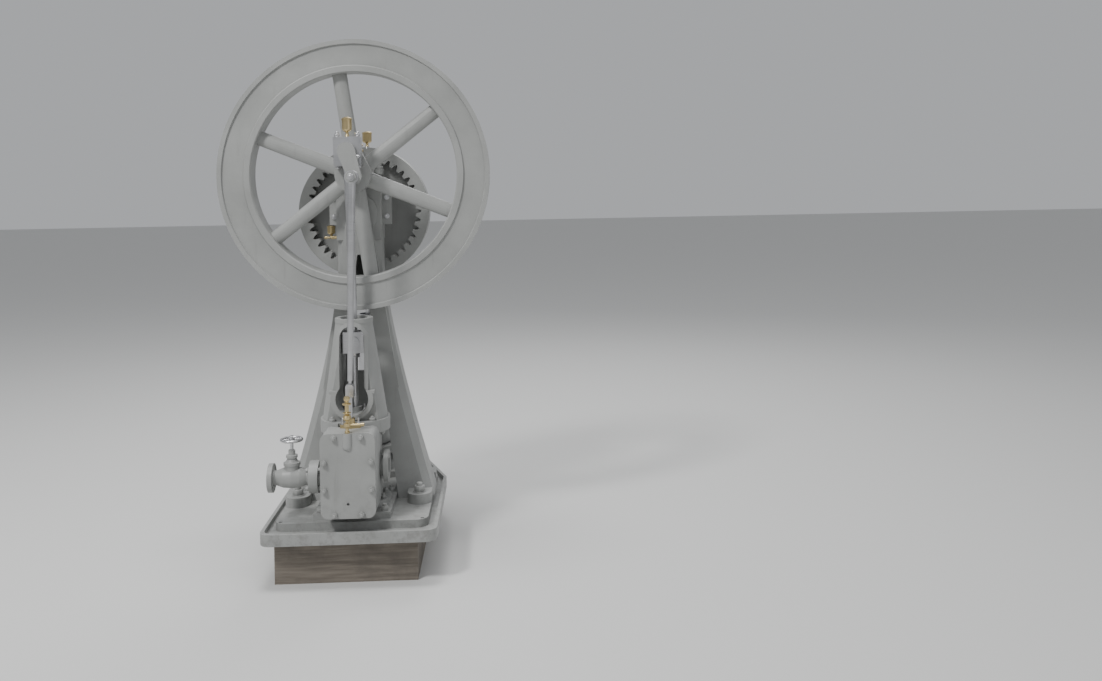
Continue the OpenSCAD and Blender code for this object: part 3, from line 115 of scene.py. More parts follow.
def on_rod(x, z):
    """A point on the connecting rod, measured from the crank pin with the rod hanging straight."""
    return CRANK_PIN + ROD_TILT @ Vector((x, 0, z))


# Materials


def link(tree, output, socket):
    """Joins an output to an input socket."""
    tree.links.new(output, socket)


def mix(tree, factor, first, second):
    """The first colour turned to the second by a factor; all three are output sockets."""
    factor_slot, first_slot, second_slot, result_slot = 0, 6, 7, 2
    blend = tree.nodes.new("ShaderNodeMix")
    blend.data_type = "RGBA"
    link(tree, factor, blend.inputs[factor_slot])
    link(tree, first, blend.inputs[first_slot])
    link(tree, second, blend.inputs[second_slot])
    return blend.outputs[result_slot]


def ramp(tree, value, low, high, out_low=0.0, out_high=1.0):
    """A value mapped from low..high to out_low..out_high and held at the ends."""
    span = tree.nodes.new("ShaderNodeMapRange")
    link(tree, value, span.inputs[0])
    for slot, bound in enumerate((low, high, out_low, out_high), start=1):
        span.inputs[slot].default_value = bound
    return span.outputs[0]


def times(tree, first, second):
    """Two values multiplied."""
    product = tree.nodes.new("ShaderNodeMath")
    product.operation = "MULTIPLY"
    link(tree, first, product.inputs[0])
    link(tree, second, product.inputs[1])
    return product.outputs[0]


def noise(tree, vector, scale, detail, rough):
    """A noise texture's value."""
    texture = tree.nodes.new("ShaderNodeTexNoise")
    link(tree, vector, texture.inputs["Vector"])
    texture.inputs["Scale"].default_value = scale
    texture.inputs["Detail"].default_value = detail
    texture.inputs["Roughness"].default_value = rough
    return texture.outputs["Fac"]


def stretched(tree, vector, scale):
    """A pattern's vector scaled along each axis, so a small number draws the pattern out."""
    mapping = tree.nodes.new("ShaderNodeMapping")
    mapping.inputs["Scale"].default_value = scale
    link(tree, vector, mapping.inputs["Vector"])
    return mapping.outputs["Vector"]


def paint_pattern(g, vector, light, dark, grime):
    """Old machine paint: soft clouds of tone, streaks that run down, and grime near the tray."""
    clouds = ramp(g, noise(g, vector, scale=5, detail=5, rough=0.6), low=0.35, high=0.7)
    tone = mix(g, clouds, light, dark)
    runs = noise(g, stretched(g, vector, (1, 1, 0.12)), scale=38, detail=3, rough=0.6)
    tone = mix(g, ramp(g, runs, low=0.6, high=0.8, out_high=0.25), tone, grime)
    split = g.nodes.new("ShaderNodeSeparateXYZ")
    link(g, vector, split.inputs["Vector"])
    below, above = (DECK - 40) * MM, (DECK + 140) * MM
    near_tray = ramp(g, split.outputs["Z"], below, above, out_low=0.6, out_high=0)
    spots = ramp(g, noise(g, vector, scale=34, detail=5, rough=0.7), low=0.46, high=0.72)
    tone = mix(g, times(g, near_tray, spots), tone, grime)
    wear = noise(g, vector, scale=12, detail=4, rough=0.6)
    rough = ramp(g, wear, low=0.3, high=0.7, out_low=0.38, out_high=0.58)
    height = noise(g, vector, scale=160, detail=4, rough=0.6)
    return tone, rough, height


def metal_pattern(g, vector, light, dark, grime):
    """Turned metal with faint rings, oil stains and dull patches."""
    stains = noise(g, vector, scale=11, detail=4, rough=0.55)
    tone = mix(g, ramp(g, stains, low=0.42, high=0.75, out_high=0.55), light, dark)
    rings = noise(g, stretched(g, vector, (0.3, 0.3, 6)), scale=60, detail=3, rough=0.5)
    tone = mix(g, ramp(g, rings, low=0.5, high=0.8, out_high=0.2), tone, grime)
    wear = noise(g, vector, scale=9, detail=4, rough=0.6)
    rough = ramp(g, wear, low=0.3, high=0.7, out_low=0.24, out_high=0.44)
    return tone, rough, rings


def timber_pattern(g, vector, light, dark, grime):
    """Sawn timber, gone grey, with long grain along X and stains."""
    grain = noise(g, stretched(g, vector, (0.6, 9, 9)), scale=9, detail=6, rough=0.65)
    tone = mix(g, ramp(g, grain, low=0.32, high=0.68), dark, light)
    stains = noise(g, vector, scale=7, detail=4, rough=0.6)
    tone = mix(g, ramp(g, stains, low=0.5, high=0.75, out_high=0.6), tone, grime)
    rough = ramp(g, grain, low=0.3, high=0.7, out_low=0.7, out_high=0.9)
    return tone, rough, grain


PATTERNS = {
    "Machine paint": paint_pattern,
    "Turned metal": metal_pattern,
    "Grey timber": timber_pattern,
}

# Each finish's pattern, the first word of its colours' names, metallic, bump and coat
FINISHES = {
    PAINT: ("Machine paint", "paint", 0, 0.18, 0.105),
    STEEL: ("Turned metal", "steel", 1, 0.06, 0),
    BRASS: ("Turned metal", "brass", 1, 0.06, 0),
    TIMBER: ("Grey timber", "timber", 0, 0.7, 0),
}
COLOURS = ("Light", "Dark", "Grime")
COAT_ROUGHNESS = 0.3
BUMP_DISTANCE = 0.0015


def make_group(name, pattern):
    """A pattern as a node group that any material can use with its own three colours."""
    g = bpy.data.node_groups.new(name, "ShaderNodeTree")
    g.interface.new_socket("Vector", in_out="INPUT", socket_type="NodeSocketVector")
    for key in COLOURS:
        g.interface.new_socket(key, in_out="INPUT", socket_type="NodeSocketColor")
    for key, kind in (("Color", "Color"), ("Roughness", "Float"), ("Height", "Float")):
        g.interface.new_socket(key, in_out="OUTPUT", socket_type="NodeSocket" + kind)
    given = g.nodes.new("NodeGroupInput").outputs
    result = g.nodes.new("NodeGroupOutput").inputs
    tone, rough, height = pattern(g, given["Vector"], *(given[key] for key in COLOURS))
    link(g, tone, result["Color"])
    link(g, rough, result["Roughness"])
    link(g, height, result["Height"])


def make_material(slot, settings):
    """The material of one of the record's slots."""
    pattern_name, colour_name, metallic, bump_strength, coat = FINISHES[slot]
    material = bpy.data.materials.new(slot)
    material.use_nodes = True
    tree = material.node_tree
    shader = tree.nodes["Principled BSDF"]
    shader.inputs["Metallic"].default_value = metallic
    shader.inputs["Coat Weight"].default_value = coat
    shader.inputs["Coat Roughness"].default_value = COAT_ROUGHNESS
    place = tree.nodes.new("ShaderNodeTexCoord")
    pattern = tree.nodes.new("ShaderNodeGroup")
    pattern.node_tree = bpy.data.node_groups[pattern_name]
    for key in COLOURS:
        colour = getattr(settings, colour_name + "_" + key.lower())
        pattern.inputs[key].default_value = (*colour, 1)
    bump = tree.nodes.new("ShaderNodeBump")
    bump.inputs["Strength"].default_value = bump_strength
    bump.inputs["Distance"].default_value = BUMP_DISTANCE
    link(tree, place.outputs["Object"], pattern.inputs["Vector"])
    link(tree, pattern.outputs["Color"], shader.inputs["Base Color"])
    link(tree, pattern.outputs["Roughness"], shader.inputs["Roughness"])
    link(tree, pattern.outputs["Height"], bump.inputs["Height"])
    link(tree, bump.outputs["Normal"], shader.inputs["Normal"])
    return material


# Shaping


def turn_to(axis):
    """The Euler turn that takes +Z to an axis."""
    return UP.rotation_difference(axis).to_euler()


def select_only(obj):
    """Leaves one object selected and active."""
    bpy.ops.object.select_all(action="DESELECT")
    obj.select_set(True)
    bpy.context.view_layer.objects.active = obj


def rod(at, axis, r, length, sides=32):
    """A cylinder whose first face is centred at a point and which runs along an axis."""
    bpy.ops.object.select_all(action="DESELECT")
    halfway = (Vector(at) + axis.normalized() * length / 2) * MM
    bpy.ops.mesh.primitive_cylinder_add(
        vertices=sides, radius=r * MM, depth=length * MM, location=halfway, rotation=turn_to(axis)
    )
    return bpy.context.object


def block(low, high):
    """A box between two corners."""
    bpy.ops.object.select_all(action="DESELECT")
    a, b = Vector(low) * MM, Vector(high) * MM
    bpy.ops.mesh.primitive_cube_add(size=1, location=(a + b) / 2, scale=b - a)
    return bpy.context.object


def soften(obj, width, segments=2):
    """Rounds a piece's edges."""
    select_only(obj)
    bpy.ops.object.transform_apply(location=False, rotation=False, scale=True)
    edge = obj.modifiers.new("edge", "BEVEL")
    edge.width, edge.segments, edge.limit_method = width * MM, segments, "ANGLE"
    bpy.ops.object.modifier_apply(modifier=edge.name)
    return obj


def turned(at, axis, profile, sides=32):
    """A turned piece: a disc drawn up through (radius, height) points along an axis."""
    bpy.ops.object.select_all(action="DESELECT")
    (r, h), *steps = profile
    bpy.ops.mesh.primitive_circle_add(
        vertices=sides, radius=r * MM, fill_type="NGON", location=(0, 0, h * MM)
    )
    bpy.ops.object.mode_set(mode="EDIT")
    bpy.ops.mesh.select_all(action="SELECT")
    for next_r, next_h in steps:
        rise, grow = (0, 0, (next_h - h) * MM), (next_r / r, next_r / r, 1)
        bpy.ops.mesh.extrude_region_move(TRANSFORM_OT_translate={"value": rise})
        bpy.ops.transform.resize(value=grow, center_override=(0, 0, next_h * MM))
        r, h = next_r, next_h
    bpy.ops.mesh.select_all(action="SELECT")
    bpy.ops.mesh.normals_make_consistent(inside=False)
    bpy.ops.object.mode_set(mode="OBJECT")
    bpy.ops.object.transform_apply(location=True, rotation=False, scale=False)
    obj = bpy.context.object
    obj.location, obj.rotation_euler = Vector(at) * MM, turn_to(axis)
    return obj


def joined(parts):
    """The parts as one object."""
    select_only(parts[0])
    for part in parts[1:]:
        part.select_set(True)
    if len(parts) > 1:
        bpy.ops.object.join()
    return bpy.context.object


def nut(at, axis, r, height=None, stud=None, washer=True):
    """A hexagon nut on a chamfered washer, with a stud's end standing out of it."""
    base = Vector(at)
    height = r * NUT_HEIGHT if height is None else height
    stud = r * STUD_OUT if stud is None else stud
    parts = []
    if washer:
        wide, narrow = r * WASHER_RADIUS, r * WASHER_TOP_RADIUS
        edge, top = r * WASHER_EDGE, r * WASHER_HEIGHT
        parts.append(turned(base, axis, [(wide, 0), (wide, edge), (narrow, top)], sides=24))
        base = base + axis * top
    parts.append(soften(rod(base, axis, r, height, sides=6), r * NUT_BEVEL, segments=1))
    if stud:
        wide, narrow, top = r * STUD_RADIUS, r * STUD_TIP_RADIUS, stud + r * STUD_TIP
        profile = [(wide, 0), (wide, stud), (narrow, top)]
        parts.append(turned(base + axis * height, axis, profile, sides=16))
    return joined(parts)


def nut_row(places, axis, r, **more):
    """Like nuts at several places: one is modelled and the others are copies with own meshes."""
    first = nut(places[0], axis, r, **more)
    row = [first]
    for place in places[1:]:
        select_only(first)
        bpy.ops.object.duplicate(linked=False)
        copy = bpy.context.object
        copy.location = first.location + (Vector(place) - Vector(places[0])) * MM
        row.append(copy)
    return row


def ring(centre, axis, radius, count, start):
    """Points round a circle about an axis; start is in degrees."""
    turn = turn_to(axis).to_matrix()
    points = []
    for step in range(count):
        a = math.radians(start + 360 * step / count)
        spoke = Vector((math.cos(a), math.sin(a), 0)) * radius
        points.append(Vector(centre) + turn @ spoke)
    return points


def plan_corners(node, inset_x, inset_y, z):
    """Four points in from the corners of a node's plan, at one height."""
    low, high = low_of(node), high_of(node)
    xs, ys = (low.x + inset_x, high.x - inset_x), (low.y + inset_y, high.y - inset_y)
    return [Vector((x, y, z)) for x in xs for y in ys]


def finish_piece(name, parts, slot, body):
    """Joins parts into one named piece with its place in the mesh, its material and its body."""
    obj = joined(parts)
    bpy.ops.object.transform_apply(location=True, rotation=True, scale=True)
    bpy.ops.object.shade_smooth_by_angle(angle=SMOOTH_ANGLE)
    obj.name = obj.data.name = name
    obj.data.materials.clear()
    obj.data.materials.append(MATERIALS[slot])
    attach(obj, body)
    return obj


def nuts(name, places, axis, r, body, slot=STEEL, **more):
    """One piece made of like nuts at several places."""
    return finish_piece(name, nut_row(places, axis, r, **more), slot, body)


# Settings


def nut_size(name, description, radius):
    """A nut's radius over its corners, offered in the panel; the panel's own unit is the metre."""
    return bpy.props.FloatProperty(
        name=name,
        description=description + ", radius over the corners",
        default=radius * MM,
        min=MM,
        unit="LENGTH",
        subtype="DISTANCE",
    )


def colour_choice(name, description, default):
    """A colour, offered in the panel."""
    return bpy.props.FloatVectorProperty(
        name=name, description=description, default=default, min=0, max=1, size=3, subtype="COLOR"
    )


class PumpSettings(bpy.types.PropertyGroup):
    """Sizes and colours of the dressing"""

    foot_nut: nut_size("Foot nuts", "Nuts on the column's foot lugs", 21)
    cylinder_foot_nut: nut_size("Cylinder foot nuts", "Nuts on the cylinder's square foot", 15)
    cylinder_nut: nut_size("Cylinder nuts", "Nuts of the cylinder's two flanges", 10)
    guide_nut: nut_size("Guide nuts", "Nuts on the crosshead guide's foot", 11)
    cover_nut: nut_size("Cover nuts", "Nuts of the steam chest's cover", 10.5)
    piston_gland_nut: nut_size("Piston gland nuts", "Nuts of the piston rod's gland", 8)
    valve_gland_nut: nut_size("Valve gland nuts", "Nuts of the valve spindle's gland", 7)
    inlet_bolt: nut_size("Inlet bolts", "Bolts between the stop valve and the chest", 9)
    cap_nut: nut_size("Cap nuts", "Nuts of the shaft's cap", 13)
    wing_bolt: nut_size("Wing bolts", "Bolts on the bearing head's side wings", 9)
    big_end_nut: nut_size("Big end nuts", "Upper nuts of the big end", 11)
    big_end_head: nut_size("Big end bolt heads", "Heads under the big end", 10)
    valve_pin_nut: nut_size("Valve pin nut", "Nut of the valve rod's pin", 12)
    pinch_screw: nut_size("Pinch screw", "Screw that grips the crank pin", 7)
    gland_plate_nut: nut_size("Gland plate nuts", "Nuts of the pump's stuffing gland", 12)
    barrel_bolt: nut_size("Barrel bolts", "Bolts of the pump barrel's flange", 10)
    foot_plate_nut: nut_size("Foot plate nuts", "Nuts on the pump's round foot", 12)
    chest_bolt: nut_size("Valve chest bolts", "Bolts under the pump's valve chest", 9)
    boss_nut: nut_size("Boss nuts", "Nuts on the valve chest's side bosses", 14)
    pump_pin_nut: nut_size("Pump pin nut", "Nut of the pump's crank pin", 24)

    paint_light: colour_choice("Paint", "Paint where it is clean", (0.33, 0.335, 0.325))
    paint_dark: colour_choice("Paint, dull", "Paint where it is dull", (0.275, 0.28, 0.27))
    paint_grime: colour_choice("Paint, grime", "Streaks on the paint", (0.14, 0.135, 0.125))
    steel_light: colour_choice("Steel", "Bare steel where it is clean", (0.62, 0.62, 0.63))
    steel_dark: colour_choice("Steel, stained", "Oil stains on the steel", (0.42, 0.42, 0.42))
    steel_grime: colour_choice("Steel, rings", "Turning marks on the steel", (0.25, 0.24, 0.23))
    brass_light: colour_choice("Brass", "Brass where it is clean", (0.62, 0.50, 0.27))
    brass_dark: colour_choice("Brass, stained", "Stains on the brass", (0.42, 0.32, 0.16))
    brass_grime: colour_choice("Brass, rings", "Turning marks on the brass", (0.20, 0.15, 0.08))
    timber_light: colour_choice("Timber", "Timber between the grain", (0.235, 0.205, 0.17))
    timber_dark: colour_choice("Timber, grain", "Grain of the timber", (0.115, 0.098, 0.08))
    timber_grime: colour_choice("Timber, stains", "Stains on the timber", (0.07, 0.062, 0.053))
    floor: colour_choice("Floor", "The pale floor under the pump", (0.62, 0.62, 0.61))
    soft_light: colour_choice("Soft light", "The light from all round", (0.88, 0.9, 0.93))


# Pieces, in the order that they are made


class PUMP_OT_materials(bpy.types.Operator):
    """Makes the materials and gives one to every node of the frame"""

    bl_idname = "pump.materials"
    bl_label = "Materials"
    bl_options = {"REGISTER", "UNDO"}

    def execute(self, context):
        for name, pattern in PATTERNS.items():
            make_group(name, pattern)
        for slot in FINISHES:
            MATERIALS[slot] = make_material(slot, context.scene.pump)
        slots = {p["node"]: p["material_slot"] for p in frame["record"]["subparts"]}
        for name, obj in frame["nodes"].items():
            obj.data.materials.clear()
            obj.data.materials.append(MATERIALS[slots[name]])
        return {"FINISHED"}


class PUMP_OT_foot_nuts(bpy.types.Operator):
    """Nuts on the column's foot lugs"""

    bl_idname = "pump.foot_nuts"
    bl_label = "Foot nuts"
    bl_options = {"REGISTER", "UNDO"}

    def execute(self, context):
        hole_x, hole_y, lug_height = 50, 44, 36
        spots = plan_corners("column", hole_x, hole_y, DECK + lug_height)
        nuts("foot_nuts", spots, UP, context.scene.pump.foot_nut / MM, "frame", PAINT)
        return {"FINISHED"}


class PUMP_OT_cylinder_nuts(bpy.types.Operator):
    """Nuts on the cylinder's square foot, round its flanges and on the guide's foot"""

    bl_idname = "pump.cylinder_nuts"
    bl_label = "Cylinder nuts"
    bl_options = {"REGISTER", "UNDO"}

    def execute(self, context):
        pump = context.scene.pump
        foot_hole = 23
        foot_top = high_of("cylinder_foot").z
        spots = plan_corners("cylinder_foot", foot_hole, foot_hole, foot_top)
        radius = pump.cylinder_foot_nut / MM
        nuts("cylinder_foot_nuts", [p for p in spots if p.y > 0], UP, radius, "frame", PAINT)
        nuts("cylinder_front_nuts", [p for p in spots if p.y < 0], UP, radius, "frame", PAINT)

        # The steam chest stands where the front nuts of both rings would be
        flange, edge, chest_y = 22, 16, -50
        bolt_circle = high_of("steam_cylinder").y - edge
        cylinder_top = low_of("crosshead_guide").z
        radius = pump.cylinder_nut / MM
        for name, z, axis in (
            ("cylinder_low_nuts", foot_top + flange, UP),
            ("cylinder_high_nuts", cylinder_top - flange, DOWN),
        ):
            spots = ring((0, 0, z), UP, bolt_circle, count=8, start=22.5)
            spots = [p for p in spots if p.y > chest_y]
            nuts(name, spots, axis, radius, "frame", PAINT)

        guide_x, guide_y = 70.6, 85.6
        z = cylinder_top + flange
        spots = [(x, y, z) for x in (-guide_x, guide_x) for y in (-guide_y, guide_y)]
        nuts("guide_foot_nuts", spots, UP, pump.guide_nut / MM, "frame", PAINT)
        return {"FINISHED"}


class PUMP_OT_chest_nuts(bpy.types.Operator):
    """Nuts round the steam chest's cover"""

    bl_idname = "pump.chest_nuts"
    bl_label = "Chest nuts"
    bl_options = {"REGISTER", "UNDO"}

    def execute(self, context):
        plate, edge, top_x, side_z = 16, 14, 46.4, 47.5
        high, z = high_of("chest_cover"), middle_of("chest_cover").z
        y, side_x, top_z = high.y - plate, high.x - edge, high.z - z - edge
        spots = []
        for side in (-1, 1):
            for level in (-1, 1):
                spots.append((side * top_x, y, z + level * top_z))
                spots.append((side * side_x, y, z + level * side_z))
        nuts("chest_cover_nuts", spots, FRONT, context.scene.pump.cover_nut / MM, "frame", PAINT)
        return {"FINISHED"}


class PUMP_OT_gland_studs(bpy.types.Operator):
    """Studs and nuts of the steam glands"""

    bl_idname = "pump.gland_studs"
    bl_label = "Gland studs"
    bl_options = {"REGISTER", "UNDO"}

    def execute(self, context):
        pump = context.scene.pump
        # Name, node, from its edge to the stud, thickness of its plate, and the nut's radius
        for name, node, edge, plate, radius in (
            ("piston_gland_nuts", "piston_gland", 13, 8.4, pump.piston_gland_nut / MM),
            ("valve_gland_nuts", "valve_gland", 10, 11.9, pump.valve_gland_nut / MM),
        ):
            low, high = low_of(node), high_of(node)
            y, z = middle_of(node).y, low.z + plate
            spots = [(low.x + edge, y, z), (high.x - edge, y, z)]
            nuts(name, spots, UP, radius, "frame", stud=14)
        return {"FINISHED"}


class PUMP_OT_pipe_bolts(bpy.types.Operator):
    """Bolts between the stop valve and the steam chest"""

    bl_idname = "pump.pipe_bolts"
    bl_label = "Pipe bolts"
    bl_options = {"REGISTER", "UNDO"}

    def execute(self, context):
        flange, bolt_circle = 16, 44
        inlet = mount_place("steam_inlet_bore")
        joint_x = high_of("stop_valve_body").x
        radius = context.scene.pump.inlet_bolt / MM
        outer_face = (joint_x - flange, inlet.y, inlet.z)
        inner_face = (joint_x + flange, inlet.y, inlet.z)
        outer = ring(outer_face, LEFT, bolt_circle, count=4, start=45)
        inner = ring(inner_face, RIGHT, bolt_circle, count=4, start=45)
        parts = nut_row(outer, LEFT, radius, stud=3)
        parts += nut_row(inner, RIGHT, radius, stud=0, washer=False)
        finish_piece("inlet_flange_bolts", parts, PAINT, "frame")
        return {"FINISHED"}


class PUMP_OT_bearing_bolts(bpy.types.Operator):
    """Studs of the shaft's cap and the bolts on the head's side wings"""

    bl_idname = "pump.bearing_bolts"
    bl_label = "Bearing bolts"
    bl_options = {"REGISTER", "UNDO"}

    def execute(self, context):
        pump = context.scene.pump
        stud_x, stud_y, cap_foot = 12, 28, 18
        spots = plan_corners("shaft_cap", stud_x, stud_y, CRANK_Z + cap_foot)
        nuts("cap_nuts", spots, UP, pump.cap_nut / MM, "frame", PAINT)

        wing_x, wing_zs, half_wing = 101, (1247, 1320), 10
        parts = []
        for axis in (FRONT, BACK):
            y = BEARING_Y + axis.y * half_wing
            spots = [(x, y, z) for x in (-wing_x, wing_x) for z in wing_zs]
            parts += nut_row(spots, axis, pump.wing_bolt / MM, stud=3)
        finish_piece("wing_bolts", parts, STEEL, "frame")
        return {"FINISHED"}


class PUMP_OT_rod_fasteners(bpy.types.Operator):
    """Big end bolts, the valve pin's nut and the return crank's pinch screw"""

    bl_idname = "pump.rod_fasteners"
    bl_label = "Rod fasteners"
    bl_options = {"REGISTER", "UNDO"}

    def execute(self, context):
        pump = context.scene.pump
        bolt_x, face, head = 37, 53, 9
        over = [on_rod(x, face) for x in (-bolt_x, bolt_x)]
        under = [on_rod(x, -face) for x in (-bolt_x, bolt_x)]
        up, down = ROD_TILT @ UP, ROD_TILT @ DOWN
        parts = nut_row(over, up, pump.big_end_nut / MM, stud=6)
        parts += nut_row(under, down, pump.big_end_head / MM, height=head, stud=0, washer=False)
        finish_piece("big_end_bolts", parts, STEEL, "con_rod_body")

        crank_face = low_of("return_crank").y
        spots = [(VALVE_PIN.x, crank_face, VALVE_PIN.z)]
        nuts("valve_pin_nut", spots, FRONT, pump.valve_pin_nut / MM, "flywheel_body", stud=4)

        screw, screw_axis = (25.3, -40, 1470.2), Vector((0.954, 0, 0.3))
        radius = pump.pinch_screw / MM
        nuts("pinch_screw", [screw], screw_axis, radius, "flywheel_body", stud=2, washer=False)
        return {"FINISHED"}


class PUMP_OT_pump_studs(bpy.types.Operator):
    """Studs and nuts of the pump barrel, its gland and its foot"""

    bl_idname = "pump.pump_studs"
    bl_label = "Pump studs"
    bl_options = {"REGISTER", "UNDO"}

    def execute(self, context):
        pump = context.scene.pump
        barrel_y = middle_of("stuffing_gland").y
        plate, plate_circle = 15, 80
        z = low_of("stuffing_gland").z + plate
        spots = ring((0, barrel_y, z), UP, plate_circle, count=4, start=45)
        nuts("gland_plate_studs", spots, UP, pump.gland_plate_nut / MM, "frame", stud=78)

        # The side neck to the valve chest stands where the back bolts would be
        flange_top, flange, flange_circle, neck_y = 325, 30, 100, 530
        spots = ring((0, barrel_y, flange_top), UP, flange_circle, count=8, start=22.5)
        spots = [p for p in spots if p.y < neck_y]
        radius = pump.barrel_bolt / MM
        parts = nut_row(spots, UP, radius)
        parts += nut_row([p + DOWN * flange for p in spots], DOWN, radius)
        finish_piece("barrel_flange_bolts", parts, PAINT, "frame")

        foot, edge, count = 24, 20, 7
        centre = (0, middle_of("pump_barrel").y, DECK + foot)
        foot_circle = high_of("pump_barrel").x - edge
        spots = ring(centre, UP, foot_circle, count, start=90 + 180 / count)
        nuts("foot_plate_studs", spots, UP, pump.foot_plate_nut / MM, "frame", stud=26)
        return {"FINISHED"}


class PUMP_OT_valve_chest_bolts(bpy.types.Operator):
    """Bolts of the pump's valve chest"""

    bl_idname = "pump.valve_chest_bolts"
    bl_label = "Valve chest bolts"
    bl_options = {"REGISTER", "UNDO"}

    def execute(self, context):
        pump = context.scene.pump
        chest_y, joint_z = middle_of("chest_bowl").y, high_of("chest_bowl").z
        chest_flange, chest_circle = 14, 96
        bowl_flange, bowl_circle = 16, 92
        body_x, body_y = 82, 710
        over = ring((0, chest_y, joint_z + chest_flange), UP, chest_circle, count=6, start=30)
        over = [p for p in over if abs(p.x) > body_x or p.y > body_y]
        under = ring((0, chest_y, joint_z - bowl_flange), UP, bowl_circle, count=6, start=30)
        radius = pump.chest_bolt / MM
        parts = nut_row(over, UP, radius, stud=3) + nut_row(under, DOWN, radius, stud=3)
        finish_piece("lower_flange_bolts", parts, PAINT, "frame")

        boss_x, boss_y, boss_z = 96, 716, 368
        spots = [(x, boss_y, boss_z) for x in (-boss_x, boss_x)]
        nuts("side_boss_nuts", spots, BACK, pump.boss_nut / MM, "frame", stud=6)
        return {"FINISHED"}


class PUMP_OT_small_fittings(bpy.types.Operator):
    """Handle of the oil cup's cock, the pump pin's nut and the grease screw on the cap"""

    bl_idname = "pump.small_fittings"
    bl_label = "Small fittings"
    bl_options = {"REGISTER", "UNDO"}

    def execute(self, context):
        cock = Vector((-130, BEARING_Y, 1168))
        plug = rod(cock, LEFT, r=5.5, length=7)
        lever = block(cock + Vector((-10, -14, -3)), cock + Vector((-6, 14, 3)))
        finish_piece("oil_cock_handle", [plug, soften(lever, width=1.2)], BRASS, "frame")

        pin, pin_end = middle_of("pump_crank_pin"), high_of("pump_crank_pin").y
        washer_seat = 13
        spots = [(0, pin_end - washer_seat, pin.z)]
        radius = context.scene.pump.pump_pin_nut / MM
        nuts("pump_pin_nut", spots, BACK, radius, "disc_body", height=14, stud=6, washer=False)

        cap_top = high_of("shaft_cap").z
        profile = [(14, 0), (14, 8), (9, 10), (9, 20), (12, 22), (12, 28), (4, 34)]
        grease_screw = turned((0, BEARING_Y, cap_top), UP, profile)
        finish_piece("cap_lubricator", [grease_screw], BRASS, "frame")
        return {"FINISHED"}


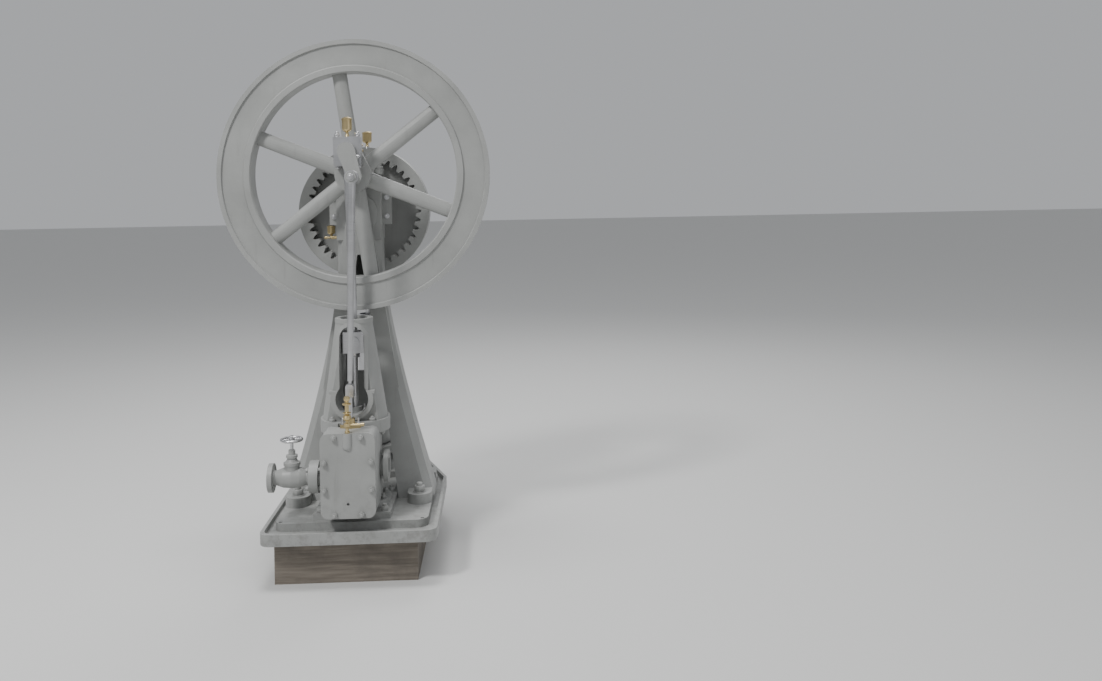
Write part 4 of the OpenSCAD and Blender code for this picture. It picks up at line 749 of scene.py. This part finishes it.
class PUMP_OT_stage(bpy.types.Operator):
    """Floor, light and the photograph's camera; places and sizes are in metres"""

    bl_idname = "pump.stage"
    bl_label = "Stage"
    bl_options = {"REGISTER", "UNDO"}

    FLOOR_SIZE, FLOOR_ROUGHNESS = 60, 0.85
    SOFT_LIGHT_STRENGTH = 0.5
    LIGHTS_AIM = Vector((0, 0.1, 0.9))
    # Name, place, size and power of each light
    LIGHTS = (
        ("key_light", (-2.6, -3.5, 5.5), 0.9, 270),
        ("top_light", (-0.3, -0.1, 5.2), 1.4, 125),
        ("fill_light", (3.4, -3.0, 2.6), 3.0, 16),
        ("rim_light", (1.2, 3.6, 4.0), 2.4, 70),
    )
    # The photograph's camera; the focal length and the horizon's row are in its pixels
    PHOTO_WIDTH, PHOTO_HEIGHT = 1102, 681
    FOCAL_LENGTH, HORIZON_ROW = 1050, 176
    SENSOR_WIDTH = 36
    CAMERA_AT = (0.545, -3.84, 1.39)
    CAMERA_YAW, CAMERA_ROLL = math.radians(2.68), math.radians(1.0)

    def lay_floor(self, colour):
        """A plain floor, which is stage and no part of the object."""
        material = bpy.data.materials.new("pale_floor")
        material.use_nodes = True
        shader = material.node_tree.nodes["Principled BSDF"]
        shader.inputs["Base Color"].default_value = (*colour, 1)
        shader.inputs["Roughness"].default_value = self.FLOOR_ROUGHNESS
        bpy.ops.object.select_all(action="DESELECT")
        bpy.ops.mesh.primitive_plane_add(size=self.FLOOR_SIZE, location=(0, 0, 0))
        floor = bpy.context.object
        floor.name = "floor"
        floor.data.materials.append(material)

    def light_scene(self, colour):
        """Soft light from all round and four area lights."""
        world = bpy.data.worlds.new("soft_sky")
        bpy.context.scene.world = world
        world.use_nodes = True
        background = world.node_tree.nodes["Background"]
        background.inputs["Color"].default_value = (*colour, 1)
        background.inputs["Strength"].default_value = self.SOFT_LIGHT_STRENGTH
        for name, at, size, power in self.LIGHTS:
            bpy.ops.object.light_add(type="AREA", location=at)
            lamp = bpy.context.object
            lamp.name = name
            lamp.data.size, lamp.data.energy = size, power
            aim = self.LIGHTS_AIM - Vector(at)
            lamp.rotation_euler = aim.to_track_quat("-Z", "Y").to_euler()

    def place_camera(self):
        """The camera where the photograph was taken from."""
        bpy.ops.object.camera_add(location=self.CAMERA_AT)
        camera = bpy.context.object
        camera.name = "photo_camera"
        camera.data.sensor_width = self.SENSOR_WIDTH
        camera.data.lens = self.SENSOR_WIDTH * self.FOCAL_LENGTH / self.PHOTO_WIDTH
        camera.data.shift_y = (self.HORIZON_ROW - self.PHOTO_HEIGHT / 2) / self.PHOTO_WIDTH
        yaw = Matrix.Rotation(-self.CAMERA_YAW, 3, "Z")
        level = Matrix.Rotation(math.pi / 2, 3, "X")
        roll = Matrix.Rotation(-self.CAMERA_ROLL, 3, "Z")
        camera.rotation_euler = (yaw @ level @ roll).to_euler()
        bpy.context.scene.camera = camera

    def execute(self, context):
        self.lay_floor(context.scene.pump.floor)
        self.light_scene(context.scene.pump.soft_light)
        self.place_camera()
        return {"FINISHED"}


OPERATORS = (
    PUMP_OT_materials,
    PUMP_OT_foot_nuts,
    PUMP_OT_cylinder_nuts,
    PUMP_OT_chest_nuts,
    PUMP_OT_gland_studs,
    PUMP_OT_pipe_bolts,
    PUMP_OT_bearing_bolts,
    PUMP_OT_rod_fasteners,
    PUMP_OT_pump_studs,
    PUMP_OT_valve_chest_bolts,
    PUMP_OT_small_fittings,
    PUMP_OT_stage,
)


class PUMP_PT_panel(bpy.types.Panel):
    """The settings, and a button for each piece in the order that they are made"""

    bl_label = "Pump"
    bl_idname = "PUMP_PT_panel"
    bl_space_type = "VIEW_3D"
    bl_region_type = "UI"
    bl_category = "Pump"

    def draw(self, context):
        for name in PumpSettings.__annotations__:
            self.layout.prop(context.scene.pump, name)
        for op in OPERATORS:
            self.layout.operator(op.bl_idname)


CLASSES = (PumpSettings, *OPERATORS, PUMP_PT_panel)


def register():
    """Registers the add-on's classes."""
    for c in CLASSES:
        bpy.utils.register_class(c)
    bpy.types.Scene.pump = bpy.props.PointerProperty(type=PumpSettings)


def unregister():
    """Takes the add-on's classes away again."""
    del bpy.types.Scene.pump
    for c in reversed(CLASSES):
        bpy.utils.unregister_class(c)


def main():
    """Builds every piece in order."""
    register()
    for op in OPERATORS:
        group_name, op_name = op.bl_idname.split(".")
        getattr(getattr(bpy.ops, group_name), op_name)()


if __name__ == "__main__":
    main()
